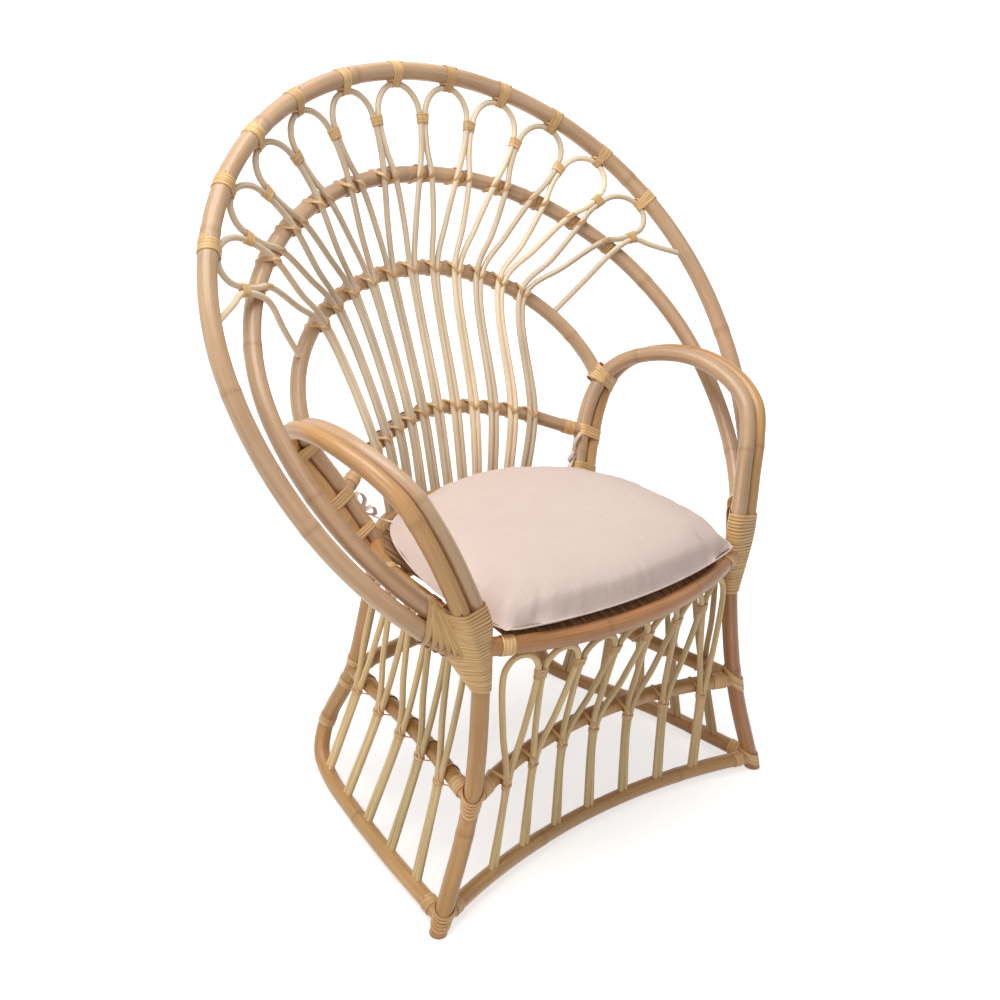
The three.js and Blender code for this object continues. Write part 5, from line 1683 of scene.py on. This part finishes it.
class CHAIR_OT_base_bindings(bpy.types.Operator):
    """Binds the skirt's rods and the joints of the base"""
    bl_idname = "chair.base_bindings"
    bl_label = "Base bindings"

    def execute(self, context):
        width = context.scene.chair_cane.width / MM
        skirts, joints = CaneLayer("skirts"), CaneLayer("joints")
        self.skirt(skirts, lines.front_mid_rail, lines.front_rods, width, REARWARD)
        for _, flip in LEFT_RIGHT:
            rail = sided(lines.side_mid_rail, flip)
            rods = {loop: sided(rod, flip) for loop, rod in lines.side_rods.items()}
            self.skirt(skirts, rail, rods, width, -INWARD if flip else INWARD)
        self.leg_joint(
            joints, MID_RAIL_HEIGHT, lines.front_mid_rail, lines.side_mid_rail, width, turns=5.2, dip=20.0)
        self.leg_joint(
            joints, BOTTOM_RAIL_HEIGHT, lines.front_bottom_rail, lines.side_pole, width, turns=3.6, dip=12.0)
        self.rear_joints(joints, width)
        joints.mirror()
        cane_piece(context, skirts, "skirt_bindings")
        cane_piece(context, joints, "base_joint_bindings")
        return {"FINISHED"}

    def skirt(self, layer, rail, rods, width, inward):
        """Ties a row of hairpin rods to their rail, and each rod to the next."""
        for loop, rod in rods.items():
            self.pair_tie(layer, rail, rod, width, inward)
            if loop + 1 in rods:
                lash_pair(layer, rod, rods[loop + 1], rod.stations[-1 - SKIRT_SHOULDER], width, inward, -0.7)

    def pair_tie(self, layer, rail, rod, width, inward):
        """A slanting strip over the rail and a rod, and a turn that holds the pair of rods under the rail."""
        foot = rod.stations[SKIRT_FOOT]
        tie(layer, rail, rod, foot, SLANT_LEFT, width, tone=0.2)
        first, second = (Pole(half, ROD_DIAMETER) for half in (rod.stations[:3], rod.stations[-3:]))
        place = first.line.at(first.line.near(foot) - PAIR_TIE_DROP)
        lash(layer, first, second, place, PAIR_TIE_TURNS, width * PAIR_TIE_PITCH, width, inward, SNUG_LIFT,
             tone=-0.2)

    def leg_joint(self, layer, height, front_rail, side_rail, width, turns, dip):
        """Turns on both rails beside a leg, and loops that hang round the leg's outer face."""
        leg = lines.leg
        pitch = width * CLOSE_PITCH
        end_wrap(layer, front_rail, FRONT_RAIL_FROM_LEG, turns, width, -UPRIGHT, EASY_LIFT, 0.5)
        wrap(layer, side_rail, SIDE_RAIL_FROM_LEG, turns, pitch, width, -UPRIGHT, EASY_LIFT, 0.5)
        outward, square = vec(0.7, -0.7, 0), vec(0.7, 0.7, 0)
        for k in range(LEG_LOOPS):
            level = height + LEG_LOOP_RISE + (k - LEG_LOOPS // 2) * width * LEG_LOOP_PITCH
            points, normals = [], []
            for i in range(LEG_LOOP_STEPS + 1):
                angle = 2 * math.pi * i / LEG_LOOP_STEPS + math.pi
                low = 0.5 + 0.5 * math.cos(angle)
                centre = leg.at_height(max(level - dip * (low - LEG_LOOP_LEVEL), LEG_LOOP_LOWEST))
                out = (outward * math.cos(angle) + square * math.sin(angle)).normalized()
                points.append(centre + out * (leg.radius + LEG_LOOP_LIFT + LEG_LOOP_STACK * k))
                normals.append(out)
            layer.lay(points, normals, width, 0.4)

    def rear_joints(self, layer, width):
        """Turns on the rear legs and beside them."""
        pole = lines.side_pole
        pitch = width * CLOSE_PITCH
        for height, turns in REAR_BANDS:
            i = max(k for k, p in enumerate(pole.stations) if p.z < height)
            a, b = pole.stations[i], pole.stations[i + 1]
            place = pole.line.near(a + (b - a) * ((height - a.z) / (b.z - a.z)))
            wrap(layer, pole, place - turns * pitch / 2, turns, pitch, width, INWARD, SNUG_LIFT)
        for rail, first_side in ((lines.rear_mid_rail, -REARWARD), (lines.side_mid_rail, INWARD)):
            end_wrap(layer, rail, RAIL_END_MARGIN, RAIL_END_TURNS, width, first_side, SNUG_LIFT)


class CHAIR_OT_seat_bindings(bpy.types.Operator):
    """Winds the joints of the arms, the lower back rail, the inner hoop and the seat's side rails"""
    bl_idname = "chair.seat_bindings"
    bl_label = "Seat and arm bindings"

    def execute(self, context):
        width = context.scene.chair_cane.width / MM
        pitch = width * CLOSE_PITCH
        layer = CaneLayer("seat")
        rail, hoop, ring, inner = lines.back_rail, lines.inner_hoop, lines.seat_ring, lines.arm_inner
        end_wrap(layer, rail, BACK_RAIL_END_MARGIN, BACK_RAIL_END_TURNS, width, BACK, EASY_LIFT, 0.5)
        hoop_end = hoop.stations[-1] + UPRIGHT * HOOP_BAND_RISE
        self.post_band(layer, hoop_end, HOOP_BAND_TURNS, pitch, width, hoop)
        self.post_band(layer, rail.stations[-1], RAIL_BAND_TURNS, pitch, width)
        for from_corner in RING_BANDS:
            start = ring.line.length - from_corner - RING_BAND_TURNS * pitch / 2
            wrap(layer, ring, start, RING_BAND_TURNS, pitch, width, INWARD, EASY_LIFT, 0.6)
        touch = inner.line.at(inner.line.length - ARM_END_MARGIN)
        lash(layer, inner, lines.arm_outer, touch, ARM_END_TURNS, pitch, width, INWARD, LOOSE_LIFT)
        layer.mirror()
        cane_piece(context, layer, "seat_and_arm_bindings")
        return {"FINISHED"}

    def post_band(self, layer, place, turns, pitch, width, held=None):
        """Turns round both poles of an arm, and round the end of a hoop that is held by them."""
        inner, outer = lines.arm_inner, lines.arm_outer
        middle = inner.line.near(place)

        def circles(offset):
            centre = inner.line.at(middle + offset)
            heading = inner.line.heading(middle + offset)
            found = [(pole.line.crossing(centre, heading), pole.radius) for pole in (inner, outer)]
            if held:
                end = held.line.at(held.line.length - HOOP_END_HELD)
                found.append((end - heading * heading.dot(end - centre), held.radius))
            return found

        wind(layer, circles, lambda s: inner.line.heading(middle + s), BACK, turns, pitch, width, LOOSE_LIFT,
             tone=0.5)


def cushion_outline():
    """The sewn edge of the cushion seen from above, once round from its left front corner."""
    tip = vec(*CUSHION_TIP, 0)
    left = vec(-tip.x, tip.y, 0)
    pull = vec(0, tip.y - 2 * CUSHION_FRONT_BOW, 0)
    front = []
    for i in range(CUSHION_FRONT_STEPS):
        t = i / CUSHION_FRONT_STEPS
        front.append(left * (1 - t) ** 2 + pull * (2 * t * (1 - t)) + tip * t * t)
    half = [vec(0, CUSHION_REAR, 0), vec(*CUSHION_SHOULDER, 0), vec(*CUSHION_SIDE, 0), tip]
    around = smooth(both_ends(half)[::-1], CUSHION_SIDE_STEPS)
    edge = Line(front + around, FINE_SPACING)
    count = round(edge.length / CUSHION_EDGE_STEP)
    points = np.array([edge.at(edge.length * k / count) for k in range(count)])
    for _ in range(CUSHION_EASING):
        points = (np.roll(points, 1, axis=0) + 2 * points + np.roll(points, -1, axis=0)) / 4
    return [vec(*p) for p in points]


def ramp(values, start, length):
    """0 up to a start, then a straight rise to 1."""
    return np.clip((values - start) / length, 0, 1)


class CHAIR_OT_cushion(bpy.types.Operator):
    """Sews the seat cushion: two panels filled by a cloth simulation, a knife edge, gathers and ties"""
    bl_idname = "chair.cushion"
    bl_label = "Cushion"

    def execute(self, context):
        settings = context.scene.chair_cushion
        low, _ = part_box("cushion")
        self.seam = low[2] + CUSHION_SEAM_RISE * MM
        self.sewn = low[2] + SEWN_SEAM_RISE * MM
        self.outline = cushion_outline()
        edge = placed(self.outline)
        self.middle = np.array([0.0, (edge[:, 1].min() + edge[:, 1].max()) / 2])
        angle, self.edge_reach = self.around_middle(edge)
        self.edge_angle = np.unwrap(angle)
        pad = self.cut_panels()
        self.fill(context, pad, settings)
        self.sew(pad, settings)
        pad.data.materials.append(finishes.cotton)
        finish_piece(pad, ["cushion"], CUSHION_BODY)
        self.seam_cord()
        self.ties()
        return {"FINISHED"}

    def cut_panels(self):
        """A copy of the cushion's solid, merged, drawn a little smaller and remeshed as cloth."""
        mesh = frame["nodes"]["cushion"].data.copy()
        pad = bpy.data.objects.new("seat_cushion_pad", mesh)
        mesh.name = pad.name
        mesh.materials.clear()
        bpy.context.scene.collection.objects.link(pad)
        choose(pad)
        edit_all()
        bpy.ops.mesh.remove_doubles(threshold=MERGE_REACH * MM)
        bpy.ops.mesh.normals_make_consistent(inside=False)
        centre = (self.middle[0], self.middle[1], self.seam)
        bpy.ops.transform.resize(value=PANEL_SCALE, center_override=centre)
        bpy.ops.object.mode_set(mode="OBJECT")
        bpy.ops.object.modifier_add(type="REMESH")
        grid = pad.modifiers[-1]
        grid.mode = "VOXEL"
        grid.voxel_size = bpy.context.scene.chair_cushion.voxel
        bpy.ops.object.modifier_apply(modifier=grid.name)
        return pad

    def fill(self, context, pad, settings):
        """Blows the cloth up by its filling's pressure, and holds each point within the swell limit."""
        rest = coordinates(pad.data)
        choose(pad)
        bpy.ops.object.modifier_add(type="CLOTH")
        cloth = pad.modifiers[-1]
        cloth.settings.use_pressure = True
        cloth.settings.uniform_pressure_force = settings.pressure
        cloth.settings.effector_weights.gravity = 0.0
        cloth.settings.tension_stiffness = CLOTH_STIFFNESS
        cloth.settings.compression_stiffness = CLOTH_STIFFNESS
        cloth.settings.bending_stiffness = CLOTH_BENDING
        scene = context.scene
        for step in range(1, FILL_FRAMES + 1):
            scene.frame_set(step)
        choose(pad)
        bpy.ops.object.modifier_apply(modifier=cloth.name)
        scene.frame_set(1)
        move = coordinates(pad.data) - rest
        size = np.linalg.norm(move, axis=1)
        hold = np.minimum(1.0, settings.swell_limit / np.maximum(size, 1e-9))
        pad.data.vertices.foreach_set("co", (rest + move * hold[:, None]).ravel())

    def around_middle(self, places):
        """The angle and the distance of places from the cushion's middle, seen from above."""
        away = places[:, :2] - self.middle
        return np.arctan2(away[:, 1], away[:, 0]), np.hypot(away[:, 0], away[:, 1])

    def share_of_edge(self, places):
        """How far out each place lies, from 0 in the middle to 1 on the sewn edge, and its angle."""
        angle, away = self.around_middle(places)
        first = self.edge_angle[0]
        turned = first + np.mod(angle - first, 2 * math.pi)
        reach = np.interp(turned, np.append(self.edge_angle, first + 2 * math.pi),
                          np.append(self.edge_reach, self.edge_reach[0]))
        return away / reach, turned

    def widest_by_angle(self, share, turned):
        """How far out the pad reaches in each direction, read off in narrow sectors."""
        sector = ((turned - self.edge_angle[0]) / (2 * math.pi) * SECTORS).astype(int) % SECTORS
        widest = np.array([share[sector == k].max() for k in range(SECTORS)])
        widest = (np.roll(widest, 1) + 2 * widest + np.roll(widest, -1)) / 4
        spots = self.edge_angle[0] + (np.arange(-1, SECTORS + 1) + 0.5) * 2 * math.pi / SECTORS
        return np.interp(turned, spots, np.concatenate([widest[-1:], widest, widest[:1]]))

    def sew(self, pad, settings):
        """Pinches the edge into a knife edge, gathers it and lays the underside flat on the deck."""
        choose(pad)
        edit_all()
        bpy.ops.mesh.vertices_smooth(factor=0.5, repeat=SMOOTH_PASSES)
        bpy.ops.object.mode_set(mode="OBJECT")
        places = coordinates(pad.data)
        share, turned = self.share_of_edge(places)
        low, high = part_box("cushion")
        top = max(places[:, 2].max(), self.seam + CROWN_MARGIN * MM)
        upper = places[:, 2] >= self.seam
        crown = high[2] - CROWN_MARGIN * MM - self.seam
        fall = ramp(share, 0.45, 0.55) ** 2
        slope = (1 - CUSHION_EDGE_FALL * fall) * crown / (top - self.seam)
        places[upper, 2] = self.seam + ((places[:, 2] - self.seam) * slope)[upper]
        widest = self.widest_by_angle(share, turned)
        spread = 1 + (1 / widest - 1) * ramp(share / widest, 0.4, 0.5)
        places[:, :2] = self.middle + (places[:, :2] - self.middle) * spread[:, None]
        share = np.minimum(share * spread, 1.0)
        rim = ramp(share, 0.9, 0.1) ** 2
        places[:, 2] += (self.seam - places[:, 2]) * rim * RIM_PINCH
        gather = np.array([
            noise.noise((a * 22.0, 3.7, 0.0)) + 0.5 * noise.noise((a * 9.0, 9.1, 0.0)) for a in turned])
        near_edge = ramp(share, 0.8, 0.12) * ramp(1 - share, 0, 0.04)
        places[:, 2] += np.where(upper, 1, UNDERSIDE_GATHER) * gather * near_edge * settings.pucker
        ripple = np.array([
            noise.noise((x * RIPPLE_SCALE, y * RIPPLE_SCALE, 2.5)) for x, y in places[:, :2]])
        places[:, 2] += np.where(upper, ripple * (RIPPLE_HEIGHT * MM) * np.clip(1 - rim, 0, 1), 0)
        fullness = (high[2] + CROWN_EXTRA * MM - self.sewn) / (high[2] - self.seam)
        over = self.sewn + (places[:, 2] - self.seam) * fullness
        under = low[2] + (places[:, 2] - low[2]) * (self.sewn - low[2]) / (self.seam - low[2])
        places[:, 2] = np.where(places[:, 2] >= self.seam, over, under)
        places[:, 2] = np.maximum(places[:, 2], low[2] + DECK_GAP * MM)
        pad.data.vertices.foreach_set("co", places.ravel())
        pad.data.update()
        choose(pad)
        bpy.ops.object.modifier_add(type="SUBSURF")
        finer = pad.modifiers[-1]
        finer.levels = 1
        finer.render_levels = 1
        bpy.ops.object.modifier_apply(modifier=finer.name)
        bpy.ops.object.shade_smooth()

    def seam_cord(self):
        """The narrow ridge of the seam allowance along the knife edge."""
        height = self.sewn / MM
        ridge = [vec(p.x, p.y, height) for p in self.outline]
        line = Line(ridge + [ridge[0]], SEAM_CORD_SPACING)
        piece = bend("cushion_seam", line, SEAM_CORD_DIAMETER, SEAM_CORD_SIDES, finishes.cotton,
                     growth=False, closed=True)
        finish_piece(piece, body=CUSHION_BODY)

    def ties(self):
        """Short cloth ties sewn to the rear corners."""
        layer = CaneLayer("ties")
        height = self.sewn / MM
        x, y = CUSHION_SHOULDER
        knot = vec(x + 42, y + 22, height + 20)
        paths = [
            [vec(x - 14, y - 12, height), vec(x + 12, y + 8, height + 5), knot],
            [knot, knot + vec(14, 3, 14), knot + vec(8, 6, 30), knot + vec(-6, 4, 18), knot],
            [knot, knot + vec(-16, -4, 6), knot + vec(-24, -4, -8), knot + vec(-10, -2, -6), knot],
            [knot, knot + vec(7, -2, -14), knot + vec(4, -5, -30)],
            [knot, knot + vec(-5, -4, -12), knot + vec(-12, -6, -25)],
        ]
        for path in paths:
            path = smooth(path, TIE_PATH_STEPS)
            normals = []
            for i in range(len(path)):
                along = path[min(i + 1, len(path) - 1)] - path[max(i - 1, 0)]
                normals.append(along.cross(vec(0.5, 0.8, 0.1)).normalized())
            layer.lay(path, normals, TIE_WIDTH)
        layer.mirror()
        piece = layer.build("cushion_ties", finishes.cotton, TIE_THICKNESS)
        finish_piece(piece, body=CUSHION_BODY)


class CHAIR_OT_stage(bpy.types.Operator):
    """Sets the floor, the soft light and the camera"""
    bl_idname = "chair.stage"
    bl_label = "Stage"

    def execute(self, context):
        settings = context.scene.chair_stage
        self.floor(settings)
        self.world(context.scene)
        for lamp in LAMPS:
            self.light(*lamp)
        self.camera(context.scene, settings)
        context.scene.view_settings.view_transform = "Standard"
        return {"FINISHED"}

    def floor(self, settings):
        """A white floor that keeps the chair's shadow and brightens away from it."""
        deselect()
        bpy.ops.mesh.primitive_plane_add(size=FLOOR_SIZE, location=(0, 0, -FLOOR_DROP))
        plane = bpy.context.object
        plane.name = "studio_floor"
        material, bench, shader = new_material("studio_floor")
        bench.feed(shader.inputs["Base Color"], settings.floor_colour)
        shader.inputs["Roughness"].default_value = 0.9
        glow = bench.add("ShaderNodeEmission")
        away = bench.add("ShaderNodeVectorMath", operation="LENGTH")
        bench.feed(away.inputs[0], bench.place())
        level = bench.scaled(away.outputs["Value"], GLOW_REACH, GLOW_LEVELS)
        bench.feed(glow.inputs["Strength"], bench.times(bench.seen_rays(), level))
        both = bench.add("ShaderNodeAddShader")
        bench.feed(both.inputs[0], shader.outputs[0])
        bench.feed(both.inputs[1], glow.outputs[0])
        bench.feed(material.node_tree.nodes["Material Output"].inputs["Surface"], both.outputs[0])
        plane.data.materials.append(material)

    def world(self, scene):
        """A white background, with a dimmer light of its own on the chair."""
        world = bpy.data.worlds.new("white_studio")
        scene.world = world
        world.use_nodes = True
        bench = Bench(world.node_tree)
        background = world.node_tree.nodes["Background"]
        background.inputs["Color"].default_value = (1, 1, 1, 1)
        dim = bench.add("ShaderNodeMapRange")
        bench.feed(dim.inputs["Value"], bench.seen_rays())
        dim.inputs["To Min"].default_value = AMBIENT
        dim.inputs["To Max"].default_value = 1.0
        bench.feed(background.inputs["Strength"], dim.outputs[0])

    def light(self, name, place, target, size, power):
        deselect()
        bpy.ops.object.light_add(type="AREA", location=place)
        lamp = bpy.context.object
        lamp.name = name
        lamp.data.shape = "SQUARE"
        lamp.data.size = size
        lamp.data.energy = power
        lamp.rotation_euler = (Vector(target) - Vector(place)).to_track_quat("-Z", "Y").to_euler()

    def camera(self, scene, settings):
        deselect()
        bpy.ops.object.camera_add()
        camera = bpy.context.object
        camera.name = "photo_camera"
        camera.data.sensor_fit = "HORIZONTAL"
        camera.data.sensor_width = SENSOR_WIDTH
        camera.data.lens = settings.lens
        turn, lift = settings.azimuth, settings.elevation
        back = vec(math.sin(turn) * math.cos(lift), -math.cos(turn) * math.cos(lift), math.sin(lift))
        right = (-back).cross(UPRIGHT).normalized()
        up = right.cross(-back)
        c, s = math.cos(settings.roll), math.sin(settings.roll)
        axes = Matrix((right * c + up * s, up * c - right * s, back)).transposed()
        camera.matrix_world = Matrix.Translation(settings.camera_place) @ axes.to_4x4()
        scene.camera = camera


class CHAIR_PT_panel(bpy.types.Panel):
    """Sizes, colours and building steps of the chair"""
    bl_idname = "CHAIR_PT_panel"
    bl_label = "Rattan chair"
    bl_space_type = "VIEW_3D"
    bl_region_type = "UI"
    bl_category = "Chair"

    def draw(self, context):
        layout = self.layout
        for name in SETTINGS:
            group = getattr(context.scene, name)
            box = layout.box()
            for key in group.__annotations__:
                box.prop(group, key)
        for operator in OPERATORS:
            layout.operator(operator.bl_idname)


OPERATORS = (
    CHAIR_OT_hoops,
    CHAIR_OT_arms,
    CHAIR_OT_base,
    CHAIR_OT_seat,
    CHAIR_OT_fan,
    CHAIR_OT_skirt,
    CHAIR_OT_fan_bindings,
    CHAIR_OT_corner_windings,
    CHAIR_OT_base_bindings,
    CHAIR_OT_seat_bindings,
    CHAIR_OT_cushion,
    CHAIR_OT_stage,
)
SETTINGS = {
    "chair_poles": ChairPoleSettings,
    "chair_cane": ChairCaneSettings,
    "chair_cushion": ChairCushionSettings,
    "chair_stage": ChairStageSettings,
}


def register():
    for kind in (*SETTINGS.values(), *OPERATORS, CHAIR_PT_panel):
        bpy.utils.register_class(kind)
    for name, kind in SETTINGS.items():
        setattr(bpy.types.Scene, name, PointerProperty(type=kind))


def unregister():
    for name in SETTINGS:
        delattr(bpy.types.Scene, name)
    for kind in (CHAIR_PT_panel, *OPERATORS[::-1], *list(SETTINGS.values())[::-1]):
        bpy.utils.unregister_class(kind)


def main():
    global finishes
    register()
    finishes = Finishes(bpy.context.scene)
    bpy.ops.chair.hoops()
    bpy.ops.chair.arms()
    bpy.ops.chair.base()
    bpy.ops.chair.seat()
    bpy.ops.chair.fan()
    bpy.ops.chair.skirt()
    bpy.ops.chair.fan_bindings()
    bpy.ops.chair.corner_windings()
    bpy.ops.chair.base_bindings()
    bpy.ops.chair.seat_bindings()
    bpy.ops.chair.cushion()
    bpy.ops.chair.stage()


if __name__ == "__main__":
    main()
